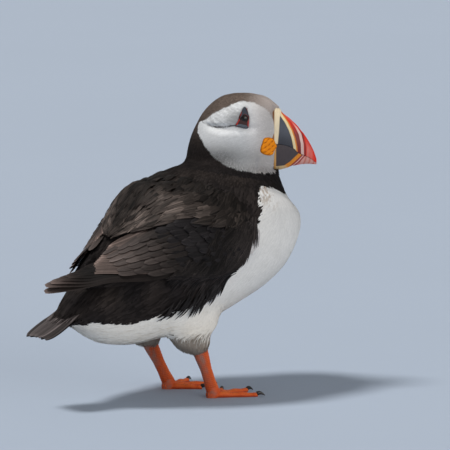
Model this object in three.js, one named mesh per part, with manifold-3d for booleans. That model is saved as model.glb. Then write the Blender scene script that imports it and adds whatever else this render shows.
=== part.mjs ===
// Standing Atlantic puffin, life size, head turned to its own right.
// Millimetres, +Z up, the body faces +X, the bird's left is +Y, soles on z = 0.
import * as THREE from "three";
import { mergeVertices } from "three/addons/utils/BufferGeometryUtils.js";
import Module from "manifold-3d";

const wasm = await Module();
wasm.setup();

// ---- driving dimensions -------------------------------------------------
const GAP = 0.3;                 // clearance kept between neighbouring pieces
const TOLERANCE = 0.16;          // finest detail kept in a surface
const HEAD_YAW = -35;            // degrees the head is turned, negative = right
const HEAD_AT = [9, -2];         // plan position the head is turned about
const EYE_R = 4.4;               // eyeball radius
const EYE_AT = [12.8, 175];      // along the head, height
const BILL_BASE = 32.6;          // where horn meets feather, along the head
const LEG_SIDE = 21.5;           // a leg's distance from the mid-plane
const STRIDE_FOOT = 4.8;         // how far the left foot stands behind the right
const STRIDE_ANKLE = 9.4;        // the same at the feathered end of the leg
const STRIDE_THIGH = 7.5;
const TARSUS_TOP = [-34.2, 30.9]; // right ankle: x and height
const TARSUS_FOOT = [-25, 5.9];  // right toe root: x and height
const FOOT_THICK = 4.6;          // thickest part of a toe
const WEB_THICK = 1.3;
const SEGMENTS = 24;             // points around a body ring

// Trunk stations from rump to breast: x, z of the centre line, half width,
// height above it, depth below it, and the section's lean in degrees.
const TRUNK = [
  [-125, 57, 7, 5, 5, 12],
  [-117, 59.5, 16, 10, 12, 13],
  [-103, 63, 27, 17, 26.5, 15],
  [-84, 68, 37, 26.5, 35, 18],
  [-62, 76, 43, 40, 40, 24],
  [-40, 87, 46, 51, 46.5, 28],
  [-18, 101, 48, 49.5, 51.5, 27],
  [2, 111, 47.5, 41, 52, 22],
  [20.5, 114, 43, 30.5, 44, 17],
  [35, 112.5, 34, 17.5, 29.5, 12],
  [45, 110, 21, 9.5, 15, 10],
  [49.5, 108.5, 8, 3.5, 5, 10],
];

// Neck and head stations from the shoulders up:
// height, nape, front (both along the head), half width, front taper, turn 0..1.
const NECK = [
  [112, -26, 34, 34, 0, 0],
  [122, -29, 42, 33, 0, 0.15],
  [130, -29, 40, 30.5, 0, 0.4],
  [137, -27.5, 36.8, 27.5, 0.05, 0.7],
  [142, -26.3, 36.2, 25.3, 0.2, 0.9],
  [148, -25, 39, 23.6, 0.4, 1],
  [156, -23.6, 40.5, 22.6, 0.5, 1],
  [164.5, -21, 41.5, 22, 0.52, 1],
  [172, -17.4, 41.5, 21, 0.52, 1],
  [178, -13.8, 39.5, 19, 0.48, 1],
  [183, -9.2, 35, 15.8, 0.36, 1],
  [187, -3.8, 28.4, 11.5, 0.22, 1],
  [190.4, 3.6, 19.8, 6, 0.1, 1],
];

// Folded wing stations from wrist to tip: x, z of the body centre line there,
// half width and height of the wing's shell, lower and upper edge angle, depth,
// and the section's lean in degrees.
const WING = [
  [-3, 111, 42, 40, -6, 30, 2.5, 30],
  [-11, 106, 50, 49.5, -15, 46, 8, 31],
  [-23, 98, 52.5, 53.5, -14, 57, 9.5, 31],
  [-40, 88, 52.5, 53, -8, 70, 9.5, 29],
  [-62, 77.5, 48, 44, 6, 79, 8.5, 22],
  [-84, 71.5, 40, 33.5, 18, 81, 7, 12],
  [-104, 68.5, 28, 23.5, 32, 84, 5, 7],
  [-121, 67, 15, 15.5, 36, 84, 3, 3],
  [-139, 66, 7, 10, 44, 80, 1.6, 0],
];

// The left wing is drawn in a little, so that its tip lies behind the right one:
// forward and upward shift at the tip, and the station where it starts.
const TUCK = [13.5, 4];
const TUCK_FROM = 4;

// Tail stations: x, z, half width, half thickness, droop of the outer feathers.
const TAIL = [
  [-106, 66, 9, 3.2, 1.5],
  [-116, 61.5, 13.5, 3.4, 2],
  [-128, 55.5, 15.5, 2.8, 2.5],
  [-138, 50.2, 14.5, 2.1, 2.5],
  [-144.5, 47, 10.5, 1.3, 2],
];

// Bill stations from base to tip: along the head, top, bottom, half width.
const BILL = [
  [32.9, 181.6, 141.2, 8.2],
  [36, 178.4, 141.3, 7.6],
  [41.5, 173.9, 142.8, 6.6],
  [48, 167.3, 144.2, 5.2],
  [53, 160.3, 144.6, 3.8],
  [56.8, 153.2, 144.4, 2.5],
  [58.7, 147.8, 144.3, 1.3],
];
// Where the mandibles meet: along the head and height.
const GAPE = [
  [26, 158.6],
  [34, 158.1],
  [39.7, 156.9],
  [44.2, 154.9],
  [47.4, 152],
  [53.8, 149],
  [57.6, 146.1],
  [62, 143],
];

// Lower edge of the dark plumage along the flank, from rump up to the collar:
// x and height. Everything below and in front of it is white.
const WHITE_EDGE = [
  [-127, 48],
  [-110, 55],
  [-90, 54.5],
  [-70, 58],
  [-50, 64],
  [-38, 69.5],
  [-28, 79],
  [-21.5, 91],
  [-14, 101],
  [-7.5, 109],
  [-4.5, 120],
  [0, 134],
];

// White cheek outline: along the head and height, from the rear point
// forward over the eye, then back under the bill.
const CHEEK = [
  [-17.3, 170.4],
  [-8.3, 176.9],
  [-1.3, 181.2],
  [5.8, 184.6],
  [10.9, 185.8],
  [17.9, 185.2],
  [23.7, 182.5],
  [28.2, 178.8],
  [31, 174],
  [46, 170],
  [46, 141.5],
  [28.2, 139.6],
  [19.2, 140.8],
  [9, 142.8],
  [0.6, 145.9],
  [-6.4, 150.4],
  [-12.2, 157.5],
  [-16.6, 164.6],
];
const CHEEK_DEPTH = 6;           // inner face of the cheek from the mid-plane

// Thigh rows from the belly down: x, height, half length, half width.
const THIGH = [
  [-45, 58, 24, 15],
  [-42, 48, 20, 14.5],
  [-42.5, 41, 14.5, 12.5],
  [-40, 35.2, 12, 9],
  [-36.4, 31.2, 5.4, 4.9],
];

// Bare leg: share of its length from the ankle, half length, half width.
const TARSUS = [
  [0, 5, 4.2],
  [0.2, 4.6, 3.7],
  [0.5, 3.7, 3],
  [0.8, 3.7, 3.2],
  [1, 4.2, 3.8],
];

// The knob the toes spring from: forward shift, height, half length, half width.
const KNUCKLE = [
  [0, 0, 3.9, 3.5],
  [1.2, 2, 4.8, 4.2],
  [0.8, 4.2, 4.6, 4.1],
  [0, TARSUS_FOOT[1], 4.2, 3.8],
];

// Toes: name, pointing angle outward from straight ahead, length, half width.
const TOES = [
  ["inner", -38, 23, 2.3],
  ["middle", -8, 32, 2.5],
  ["outer", 28, 30, 2.4],
];
const CLAW_LENGTH = 4.6;
const CLAW_R = 1.25;

// Horn plates over and under the eye: place on the head, outline about it
// (forward, up), and how far they stand above and reach into the face.
const UPPER_PLATE_AT = [12.8, 179.3];
const UPPER_PLATE = [[-2.4, -2.6], [2.6, -2.6], [1.8, 0], [0.5, 4.2], [-0.5, 4.2], [-1.7, 0.4]];
const LOWER_PLATE_AT = [11.4, 170.9];
const LOWER_PLATE = [[-5, 0.5], [-3.8, 1.4], [3.4, 0.5], [4.3, -0.5], [3, -1.4], [-3.6, -0.7]];
const PLATE_PROUD = 0.9;
const PLATE_SUNK = 0.7;
const EYE_SIDE = 13.2;           // eyeball centre from the head's mid-plane

// Fleshy rosette at the corner of the gape: along, to the side, height,
// its three half sizes, its tilt and its turn outward in degrees.
const ROSETTE_AT = [28.3, 10.6, 157];
const ROSETTE_SIZE = [4.8, 2.6, 6];
const ROSETTE_TILT = 14;
const ROSETTE_TURN = 24;

// ---- colours ------------------------------------------------------------
const DARK = 0x2a2624;
const WHITE = 0xe8e6e0;
const GREY = 0x8d8378;
const ORANGE = 0xd8501f;
const RED = 0xc7331d;
const SLATE = 0x4b5560;
const YELLOW = 0xe2901f;
const BLACK = 0x15110f;

// ---- general helpers ----------------------------------------------------
const rad = THREE.MathUtils.degToRad;
const clamp = THREE.MathUtils.clamp;
const vec = (x, y, z) => new THREE.Vector3(x, y, z);

// A value list read off a station table, passed through smoothly.
function between(table, t) {
  const last = table.length - 1;
  const i = clamp(Math.floor(t), 0, last - 1);
  const f = t - i;
  const row = (k) => table[clamp(k, 0, last)];
  return row(i).map((_, c) => {
    const [a, b, d, e] = [row(i - 1)[c], row(i)[c], row(i + 1)[c], row(i + 2)[c]];
    const bend = (2 * a - 5 * b + 4 * d - e) * f * f;
    const twist = (3 * b - a - 3 * d + e) * f * f * f;
    return 0.5 * (2 * b + (d - a) * f + bend + twist);
  });
}

// Every table resampled to a given number of even steps.
function stations(table, steps) {
  const rows = [];
  for (let k = 0; k <= steps; k += 1) {
    rows.push(between(table, (k / steps) * (table.length - 1)));
  }
  return rows;
}

// A closed solid from rings of equal point count, ends closed by fans.
function loft(rings) {
  const n = rings[0].length;
  const flat = rings.flat().flatMap((p) => [p.x, p.y, p.z]);
  const tris = [];
  for (let r = 0; r < rings.length - 1; r += 1) {
    for (let i = 0; i < n; i += 1) {
      const j = (i + 1) % n;
      const [a, b, c, d] = [r * n + i, r * n + j, (r + 1) * n + i, (r + 1) * n + j];
      tris.push(a, b, d, a, d, c);
    }
  }
  const cap = (ring, base, flip) => {
    const mid = ring.reduce((s, p) => s.add(p), vec(0, 0, 0)).divideScalar(n);
    const m = flat.length / 3;
    flat.push(mid.x, mid.y, mid.z);
    for (let i = 0; i < n; i += 1) {
      const j = (i + 1) % n;
      tris.push(...(flip ? [m, base + j, base + i] : [m, base + i, base + j]));
    }
  };
  cap(rings[0], 0, true);
  cap(rings[rings.length - 1], (rings.length - 1) * n, false);
  return solid(flat, tris);
}

// Vertices and triangles made into a solid that faces outward.
function solid(flat, tris) {
  const p = (i) => vec(flat[3 * i], flat[3 * i + 1], flat[3 * i + 2]);
  let volume = 0;
  for (let i = 0; i < tris.length; i += 3) {
    volume += p(tris[i]).dot(p(tris[i + 1]).cross(p(tris[i + 2])));
  }
  if (volume < 0) {
    tris.reverse();
  }
  const mesh = new wasm.Mesh({
    numProp: 3,
    vertProperties: new Float32Array(flat),
    triVerts: new Uint32Array(tris),
  });
  return new wasm.Manifold(mesh);
}

// A three.js geometry made into a solid.
function fromGeometry(source) {
  const bare = source.clone();
  bare.deleteAttribute("normal");
  bare.deleteAttribute("uv");
  const merged = mergeVertices(bare, 1e-4);
  return solid([...merged.attributes.position.array], [...merged.index.array]);
}

// The largest single body of a solid, dropping shavings left by a cut.
function biggest(shape) {
  const bodies = shape.decompose();
  return bodies.reduce((a, b) => (b.volume() > a.volume() ? b : a));
}

// A body-plan point from head coordinates: along, to the left, up.
function onHead(along, left, up, turn = 1) {
  const yaw = rad(HEAD_YAW) * turn;
  const x = HEAD_AT[0] + (along - HEAD_AT[0]) * Math.cos(yaw) - left * Math.sin(yaw);
  const y = HEAD_AT[1] * turn + (along - HEAD_AT[0]) * Math.sin(yaw) + left * Math.cos(yaw);
  return vec(x, y, up);
}

// An upright slab cut to an outline of (forward, up) points, from one
// leftward distance toward the right. It may be grown on every face.
function slab(outline, turn, fromLeft, depth, grow) {
  const shape = new THREE.Shape(outline.map(([a, b]) => new THREE.Vector2(a, b)));
  const sheet = new THREE.ExtrudeGeometry(shape, {
    depth,
    bevelEnabled: grow > 0,
    bevelThickness: grow,
    bevelSize: grow,
    bevelSegments: 1,
  });
  const origin = turn ? onHead(0, fromLeft, 0) : vec(0, fromLeft, 0);
  const yaw = turn ? rad(HEAD_YAW) : 0;
  const forward = vec(Math.cos(yaw), Math.sin(yaw), 0);
  const right = vec(Math.sin(yaw), -Math.cos(yaw), 0);
  const frame = new THREE.Matrix4().makeBasis(forward, vec(0, 0, 1), right);
  sheet.applyMatrix4(frame.setPosition(origin));
  return fromGeometry(sheet);
}

// ---- trunk, neck and head ----------------------------------------------
// Unit vector toward the bird's back for a section leaning back by some degrees.
const backward = (lean) => vec(-Math.sin(rad(lean)), 0, Math.cos(rad(lean)));

function trunkBody(grow) {
  const rings = stations(TRUNK, 19).map(([x, z, half, up, down, lean]) => {
    const back = backward(lean);
    const ring = [];
    for (let i = 0; i < SEGMENTS; i += 1) {
      const a = (2 * Math.PI * i) / SEGMENTS;
      const s = Math.sin(a);
      const reach = s > 0 ? up + grow : down + grow;
      const side = (half + grow) * Math.cos(a);
      ring.push(vec(x, side, z).addScaledVector(back, reach * s));
    }
    return ring;
  });
  return loft(rings);
}

function neckAndHead(grow) {
  const rings = stations(NECK, 16).map(([z, nape, front, wide, taper, turn]) => {
    const mid = (nape + front) / 2;
    const reach = (front - nape) / 2 + grow;
    const half = wide + grow;
    const ring = [];
    for (let i = 0; i < SEGMENTS; i += 1) {
      const a = (2 * Math.PI * i) / SEGMENTS;
      const c = Math.cos(a);
      const narrow = 1 - taper * Math.pow(0.5 + 0.5 * c, 1.6);
      ring.push(onHead(mid + reach * c, half * Math.sin(a) * narrow, z, turn));
    }
    return ring;
  });
  return loft(rings);
}

// ---- folded wing --------------------------------------------------------
function wing(side, grow) {
  const across = 8;
  const steps = 14;
  const rings = stations(WING, steps).map((row, k) => {
    const [x, z, half, high, low, top, depth, lean] = row;
    const back = backward(lean);
    const share = (k / steps) * (WING.length - 1) - TUCK_FROM;
    const tuck = side > 0 ? Math.pow(clamp(share / (WING.length - 1 - TUCK_FROM), 0, 1), 1.5) : 0;
    const at = (f, inset) => {
      const edge = grow / Math.max(half, 1);
      const a = rad(low + (top - low) * f) + (f - 0.5) * 2 * edge;
      const y = side * (half - inset) * Math.cos(a);
      const line = vec(x + TUCK[0] * tuck, y, z + TUCK[1] * tuck);
      return line.addScaledVector(back, (high - inset) * Math.sin(a));
    };
    const ring = [];
    for (let i = 0; i <= across; i += 1) {
      ring.push(at(i / across, -grow));
    }
    for (let i = across; i >= 0; i -= 1) {
      const f = i / across;
      const full = Math.pow(Math.sin(Math.PI * (0.07 + 0.86 * f)), 0.5);
      ring.push(at(f, depth * full + grow));
    }
    return ring;
  });
  return loft(rings);
}

// ---- tail ---------------------------------------------------------------
function tail(grow) {
  const points = 16;
  const rings = stations(TAIL, 6).map(([x, z, half, thick, droop]) => {
    const ring = [];
    for (let i = 0; i < points; i += 1) {
      const a = (2 * Math.PI * i) / points;
      const c = Math.cos(a);
      const sag = droop * c * c;
      const y = (half + grow) * c;
      ring.push(vec(x, y, z - sag + (thick + grow) * Math.sin(a)));
    }
    return ring;
  });
  return loft(rings);
}

// ---- bill ---------------------------------------------------------------
function bill(grow) {
  const points = 16;
  const rings = stations(BILL, 9).map(([along, top, bottom, half]) => {
    const ring = [];
    for (let i = 0; i < points; i += 1) {
      const a = (2 * Math.PI * i) / points;
      const s = Math.sin(a);
      const c = Math.cos(a);
      const high = (top + bottom) / 2 + ((top - bottom) / 2 + grow) * s;
      const squared = Math.sign(c) * Math.pow(Math.abs(c), 0.8);
      ring.push(onHead(along - (along < 33 ? grow : 0), (half + grow) * squared, high));
    }
    return ring;
  });
  return loft(rings);
}

// The thin sheet of air between the mandibles, also the line they are cut on.
function gapeSheet(thickness, drop) {
  const rings = stations(GAPE, 10).map(([along, z]) => [
    onHead(along, -15, z + thickness / 2),
    onHead(along, 15, z + thickness / 2),
    onHead(along, 15, z - thickness / 2 - drop),
    onHead(along, -15, z - thickness / 2 - drop),
  ]);
  return loft(rings);
}

// ---- eyes and face ------------------------------------------------------
function eye(side, grow) {
  const ball = new THREE.SphereGeometry(EYE_R + grow, 10, 7);
  const at = onHead(EYE_AT[0], side * EYE_SIDE, EYE_AT[1]);
  ball.translate(at.x, at.y, at.z);
  return fromGeometry(ball);
}

// A thin plate of horn cut to an outline and curved over the face.
function facePlate(side, outline, [along, up], grow) {
  const spots = outline.map(([a, b]) => [along + a, up + b]);
  const [inner, outer] = [8, 30];
  const from = side > 0 ? outer : -inner;
  const sheet = neckAndHead(PLATE_PROUD + grow).subtract(neckAndHead(-PLATE_SUNK - grow));
  return sheet.intersect(slab(spots, true, from, outer - inner, grow));
}

function rosette(side, grow) {
  const ball = new THREE.SphereGeometry(1, 12, 6);
  ball.scale(...ROSETTE_SIZE.map((size) => size + grow));
  ball.rotateY(rad(ROSETTE_TILT));
  ball.rotateZ(rad(HEAD_YAW - side * ROSETTE_TURN));
  const [along, aside, up] = ROSETTE_AT;
  const at = onHead(along, side * aside, up);
  ball.translate(at.x, at.y, at.z);
  return fromGeometry(ball);
}

// ---- legs and feet ------------------------------------------------------
// The left leg is set back by a stride, the right one is not.
const behind = (side, stride) => (side > 0 ? stride : 0);

function thigh(side) {
  const points = 14;
  const rings = stations(THIGH, 6).map(([x, z, long, wide]) => {
    const ring = [];
    for (let i = 0; i < points; i += 1) {
      const a = (2 * Math.PI * i) / points;
      const y = side * LEG_SIDE + wide * Math.sin(a);
      ring.push(vec(x - behind(side, STRIDE_THIGH) + long * Math.cos(a), y, z));
    }
    return ring;
  });
  return loft(rings);
}

function tarsus(side) {
  const points = 12;
  const y = side * LEG_SIDE;
  const from = vec(TARSUS_TOP[0] - behind(side, STRIDE_ANKLE), y, TARSUS_TOP[1]);
  const to = vec(TARSUS_FOOT[0] - behind(side, STRIDE_FOOT), y, TARSUS_FOOT[1] + GAP);
  const rings = stations(TARSUS, 6).map(([f, long, wide]) => {
    const mid = from.clone().lerp(to, f);
    const ring = [];
    for (let i = 0; i < points; i += 1) {
      const a = (2 * Math.PI * i) / points;
      ring.push(vec(mid.x + long * Math.cos(a), mid.y + wide * Math.sin(a), mid.z));
    }
    return ring;
  });
  return loft(rings);
}

// Direction of a toe in plan.
function toeLine(side, outward) {
  return vec(Math.cos(rad(outward)), side * Math.sin(rad(outward)), 0);
}

// Where the three toes of a foot meet on the ground.
function heel(side) {
  return vec(TARSUS_FOOT[0] - 1 - behind(side, STRIDE_FOOT), side * LEG_SIDE, 0);
}

function toe(side, outward, length, half) {
  const line = toeLine(side, outward);
  const sideways = vec(-line.y, line.x, 0);
  const points = 8;
  const steps = 5;
  const rings = [];
  for (let k = 0; k <= steps; k += 1) {
    const f = k / steps;
    const knuckle = 1 + 0.1 * Math.cos(f * Math.PI * 4);
    const wide = half * knuckle * (1 - 0.25 * f);
    const high = FOOT_THICK * knuckle * (1 - 0.4 * f);
    const ring = [];
    for (let i = 0; i < points; i += 1) {
      const a = (2 * Math.PI * i) / points;
      const z = Math.max(0, high * (0.42 + 0.58 * Math.sin(a)));
      const at = heel(side).addScaledVector(line, f * length - 2 * (1 - f));
      ring.push(at.addScaledVector(sideways, wide * Math.cos(a)).setZ(z));
    }
    rings.push(ring);
  }
  return loft(rings);
}

function webbing(side) {
  const shape = new THREE.Shape();
  const start = heel(side);
  shape.moveTo(start.x, start.y);
  const ends = TOES.map(([, angle, length]) =>
    heel(side).addScaledVector(toeLine(side, angle), length * 0.97));
  shape.lineTo(ends[0].x, ends[0].y);
  for (let k = 1; k < ends.length; k += 1) {
    const mid = ends[k - 1].clone().add(ends[k]).multiplyScalar(0.5);
    const dip = mid.clone().lerp(start, 0.12);
    shape.quadraticCurveTo(dip.x, dip.y, ends[k].x, ends[k].y);
  }
  const sheet = new THREE.ExtrudeGeometry(shape, {
    depth: WEB_THICK,
    bevelEnabled: false,
    curveSegments: 4,
  });
  return fromGeometry(sheet);
}

function foot(side) {
  let whole = webbing(side);
  for (const [, angle, length, half] of TOES) {
    whole = whole.add(toe(side, angle, length, half));
  }
  const points = 12;
  const knuckle = loft(KNUCKLE.map(([shift, z, long, wide]) => {
    const ring = [];
    for (let i = 0; i < points; i += 1) {
      const a = (2 * Math.PI * i) / points;
      const x = TARSUS_FOOT[0] - behind(side, STRIDE_FOOT) + shift + long * Math.cos(a);
      ring.push(vec(x, side * LEG_SIDE + wide * Math.sin(a), z));
    }
    return ring;
  }));
  return whole.add(knuckle);
}

function claw(side, outward, length) {
  const line = toeLine(side, outward);
  const sideways = vec(-line.y, line.x, 0);
  const points = 6;
  const steps = 3;
  const rings = [];
  for (let k = 0; k <= steps; k += 1) {
    const f = k / steps;
    const r = CLAW_R * (1 - 0.75 * f * f);
    const lift = 1.9 + 0.9 * Math.sin(f * Math.PI) - 1.1 * f;
    const ring = [];
    for (let i = 0; i < points; i += 1) {
      const a = (2 * Math.PI * i) / points;
      const at = heel(side).addScaledVector(line, length + GAP + f * CLAW_LENGTH);
      at.addScaledVector(sideways, r * Math.cos(a));
      ring.push(at.setZ(Math.max(0, lift + r * 1.2 * Math.sin(a))));
    }
    rings.push(ring);
  }
  return loft(rings);
}

// ---- assembly -----------------------------------------------------------
const pieces = [];
function keep(name, shape, colour, roughness = 0.8) {
  const plain = biggest(biggest(shape).simplify(TOLERANCE));
  pieces.push({ name, shape: plain, colour, roughness });
}

// Neck and trunk part on one sloping plane, neck and head on another.
const SHOULDER_PLANE = vec(0.188, 0, 0.982);
const SHOULDER_LEVEL = 131.9;
const CHIN_PLANE = onHead(9.215, 0, 0.977).sub(onHead(9, 0, 0)).normalize();
const CHIN_LEVEL = CHIN_PLANE.dot(onHead(34, 0, 137.2));
const above = (shape, n, level) => shape.trimByPlane([n.x, n.y, n.z], level);
const below = (shape, n, level) => shape.trimByPlane([-n.x, -n.y, -n.z], -level);

const wings = { right: -1, left: 1 };
const flesh = trunkBody(0).add(neckAndHead(0));
let headPart = above(flesh, CHIN_PLANE, CHIN_LEVEL + GAP / 2);
let neckPart = above(flesh, SHOULDER_PLANE, SHOULDER_LEVEL + GAP / 2);
neckPart = below(neckPart, CHIN_PLANE, CHIN_LEVEL - GAP / 2);
let trunkPart = below(flesh, SHOULDER_PLANE, SHOULDER_LEVEL - GAP / 2);
trunkPart = trunkPart.subtract(tail(GAP));

// Everything in front of the feather line is bill, so the head stops there,
// down to the feathers under the chin.
const CHIN_LINE = 141.5;
const beyond = new THREE.BoxGeometry(40, 60, 60);
beyond.translate(20, 0, 30);
beyond.rotateZ(rad(HEAD_YAW));
const feathersEnd = onHead(BILL_BASE, 0, CHIN_LINE);
beyond.translate(feathersEnd.x, feathersEnd.y, feathersEnd.z);
headPart = headPart.subtract(fromGeometry(beyond));

for (const [name, side] of Object.entries(wings)) {
  const folded = wing(side, 0);
  trunkPart = trunkPart.subtract(wing(side, GAP));
  neckPart = neckPart.subtract(wing(side, GAP));
  keep(`wing_${name}`, folded.subtract(tail(GAP)), DARK);
}

const uppers = bill(0).subtract(gapeSheet(GAP, 60));
const lowers = bill(0).intersect(gapeSheet(-GAP, 60));
keep("bill_upper", uppers, RED, 0.4);
keep("bill_lower", lowers, RED, 0.4);
headPart = headPart.subtract(bill(GAP));
neckPart = neckPart.subtract(bill(GAP));

// The white breast and belly are a field of their own below the dark edge.
const paleSide = [...WHITE_EDGE, [0, 150], [90, 150], [90, 15], [-127, 15]];
const beside = 75;               // well outside the trunk on either side
const belly = trunkPart.intersect(slab(paleSide, false, beside, 2 * beside, 0));
const mantle = trunkPart.subtract(slab(paleSide, false, beside, 2 * beside, GAP));

const cheeks = {};
for (const [name, side] of Object.entries(wings)) {
  const outside = 40;
  const from = side > 0 ? outside : -CHEEK_DEPTH;
  cheeks[name] = headPart.intersect(slab(CHEEK, true, from, outside - CHEEK_DEPTH, 0));
  headPart = headPart.subtract(slab(CHEEK, true, from, outside - CHEEK_DEPTH, GAP));
}

for (const [name, side] of Object.entries(wings)) {
  const plates = {
    upper: (grow) => facePlate(side, UPPER_PLATE, UPPER_PLATE_AT, grow),
    lower: (grow) => facePlate(side, LOWER_PLATE, LOWER_PLATE_AT, grow),
  };
  const socket = eye(side, GAP);
  let cheek = cheeks[name].subtract(socket);
  keep(`eye_${name}`, eye(side, 0), BLACK, 0.1);
  for (const [which, make] of Object.entries(plates)) {
    cheek = cheek.subtract(make(GAP));
    keep(`eye_plate_${which}_${name}`, make(0).subtract(socket), SLATE, 0.5);
  }
  const patch = rosette(side, 0).subtract(bill(GAP));
  keep(`cheek_${name}`, cheek.subtract(rosette(side, GAP)), WHITE);
  keep(`gape_rosette_${name}`, patch, YELLOW, 0.6);

  keep(`thigh_${name}`, thigh(side).subtract(trunkBody(GAP)), GREY);
  keep(`foot_${name}`, foot(side), ORANGE, 0.5);
  keep(`tarsus_${name}`, tarsus(side), ORANGE, 0.5);
  for (const [toeName, angle, length] of TOES) {
    const shape = claw(side, angle, length).subtract(foot(side));
    keep(`claw_${toeName}_${name}`, shape, BLACK, 0.35);
  }
}
keep("tail", tail(0), DARK);
keep("head", headPart, DARK);
keep("neck", neckPart, DARK);
keep("trunk", mantle, DARK);
keep("breast_belly", belly, WHITE);

// Centre the whole bird over the origin in plan.
const box = new THREE.Box3();
for (const { shape } of pieces) {
  const { min, max } = shape.boundingBox();
  box.expandByPoint(vec(...min)).expandByPoint(vec(...max));
}
const middle = box.getCenter(vec(0, 0, 0));

const group = new THREE.Group();
group.name = "atlantic_puffin";
group.position.set(-middle.x, -middle.y, 0);
for (const { name, shape, colour, roughness } of pieces) {
  const placed = shape.getMesh();
  const geometry = new THREE.BufferGeometry();
  const points = new THREE.BufferAttribute(new Float32Array(placed.vertProperties), 3);
  geometry.setAttribute("position", points);
  geometry.setIndex(new THREE.BufferAttribute(new Uint32Array(placed.triVerts), 1));
  const material = new THREE.MeshStandardMaterial({ color: colour, roughness, metalness: 0 });
  const mesh = new THREE.Mesh(geometry, material);
  mesh.name = name;
  group.add(mesh);
}

export default group;
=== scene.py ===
"""Atlantic puffin standing with folded wings and its head turned to its right.

Sizes are in millimetres in the bird's own plan (the body faces +X, +Z up) and
are turned into metres, centred as the frame is, where each mesh is made.
"""

import bpy
import numpy as np
from mathutils import Matrix, Vector, kdtree
from mathutils.bvhtree import BVHTree


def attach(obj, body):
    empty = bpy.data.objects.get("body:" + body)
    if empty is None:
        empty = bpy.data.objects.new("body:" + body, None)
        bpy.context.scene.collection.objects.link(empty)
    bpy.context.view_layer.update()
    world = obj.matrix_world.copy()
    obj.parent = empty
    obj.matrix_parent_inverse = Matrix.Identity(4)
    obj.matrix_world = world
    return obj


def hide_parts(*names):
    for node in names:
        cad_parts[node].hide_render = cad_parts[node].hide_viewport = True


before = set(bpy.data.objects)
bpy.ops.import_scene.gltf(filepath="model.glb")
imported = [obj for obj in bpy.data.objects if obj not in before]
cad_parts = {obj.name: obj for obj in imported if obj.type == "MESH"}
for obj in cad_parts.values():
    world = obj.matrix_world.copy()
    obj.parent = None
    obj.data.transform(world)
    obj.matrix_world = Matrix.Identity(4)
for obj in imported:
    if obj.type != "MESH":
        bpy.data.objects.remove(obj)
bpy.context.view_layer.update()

# ---------------------------------------------------------------- sizes
MM = 0.001
TAU = 2 * np.pi
UP = np.array([0.0, 0.0, 1.0])
SIDES = ((-1, "right"), (1, "left"))
PLAN_SHIFT = np.array([47.021, 0.0, 0.0])    # from the bird's plan to the frame's origin
HEAD_YAW = np.radians(-35)
HEAD_AT = np.array([9.0, -2.0])              # the upright line the head turns about
LEG_X, LEG_SIDE = -41, 21.5                  # the right thigh's upright line
STRIDE = {"thigh": 7.5, "ankle": 9.4, "foot": 4.8}   # the left leg's places behind the right's
BODY_COAT = 2.3                              # depth of the feathers over the flesh
HEAD_COAT = 0.75
FEATHERS_END = 31.3                          # along the head, where the bill's rim starts

# x, z of the centre line, half width, height above, depth below, lean
TRUNK = [
    [-125, 57, 7, 5, 5, 12], [-117, 59.5, 16, 10, 12, 13], [-103, 63, 27, 17, 26.5, 15],
    [-84, 68, 37, 26.5, 35, 18], [-62, 76, 43, 40, 40, 24], [-40, 87, 46, 51, 46.5, 28],
    [-18, 101, 48, 49.5, 51.5, 27], [2, 111, 47.5, 41, 52, 22], [20.5, 114, 43, 30.5, 44, 17],
    [35, 112.5, 34, 17.5, 29.5, 12], [45, 110, 21, 9.5, 15, 10], [49.5, 108.5, 8, 3.5, 5, 10],
]
# height, nape, front, half width, taper to the front, turn with the head
NECK = [
    [112, -26, 34, 34, 0, 0], [122, -29, 42, 33, 0, 0.15], [130, -29, 40, 30.5, 0, 0.4],
    [137, -27.5, 36.8, 27.5, 0.05, 0.7], [142, -26.3, 36.2, 25.3, 0.2, 0.9],
    [148, -25, 39, 23.6, 0.4, 1], [156, -23.6, 40.5, 22.6, 0.5, 1],
    [164.5, -21, 41.5, 22, 0.52, 1], [172, -17.4, 41.5, 21, 0.52, 1],
    [178, -13.8, 39.5, 19, 0.48, 1], [183, -9.2, 35, 15.8, 0.36, 1],
    [187, -3.8, 28.4, 11.5, 0.22, 1], [190.4, 3.6, 19.8, 6, 0.1, 1],
]
# x, z of the body line, shell half width and height, edge angles, depth, lean
WING = [
    [-3, 111, 42, 40, -6, 30, 2.5, 30], [-11, 106, 50, 49.5, -15, 46, 8, 31],
    [-23, 98, 52.5, 53.5, -14, 57, 9.5, 31], [-40, 88, 52.5, 53, -8, 70, 9.5, 29],
    [-62, 77.5, 48, 44, 6, 79, 8.5, 22], [-84, 71.5, 40, 33.5, 18, 81, 7, 12],
    [-104, 68.5, 28, 23.5, 32, 84, 5, 7], [-121, 67, 15, 15.5, 36, 84, 3, 3],
    [-139, 66, 7, 10, 44, 80, 1.6, 0],
]
TUCK = np.array([13.5, 0, 4])                # how far the left tip is drawn in behind the right
# x, z, half width, half thickness, droop of the outer feathers
TAIL = [
    [-106, 66, 9, 3.2, 1.5], [-116, 61.5, 13.5, 3.4, 2], [-128, 55.5, 15.5, 2.8, 2.5],
    [-138, 50.2, 14.5, 2.1, 2.5], [-144.5, 47, 10.5, 1.3, 2],
]
# along the head, top, bottom, half width
BILL = [
    [32.9, 181.6, 141.2, 8.2], [36, 178.4, 141.3, 7.6], [41.5, 173.9, 142.8, 6.6],
    [48, 167.3, 144.2, 5.2], [53, 160.3, 144.6, 3.8], [56.8, 153.2, 144.4, 2.5],
    [58.7, 147.8, 144.3, 1.3],
]
GAPE = [[26, 158.6], [34, 158.1], [39.7, 156.9], [44.2, 154.9], [47.4, 152], [53.8, 149],
        [57.6, 146.1], [62, 143]]
# x, z, half length, half width
THIGH = [[-45, 58, 24, 15], [-42, 48, 20, 14.5], [-42.5, 41, 14.5, 12.5], [-40, 35.2, 12, 9],
         [-36.4, 31.2, 5.4, 4.9]]
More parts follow.
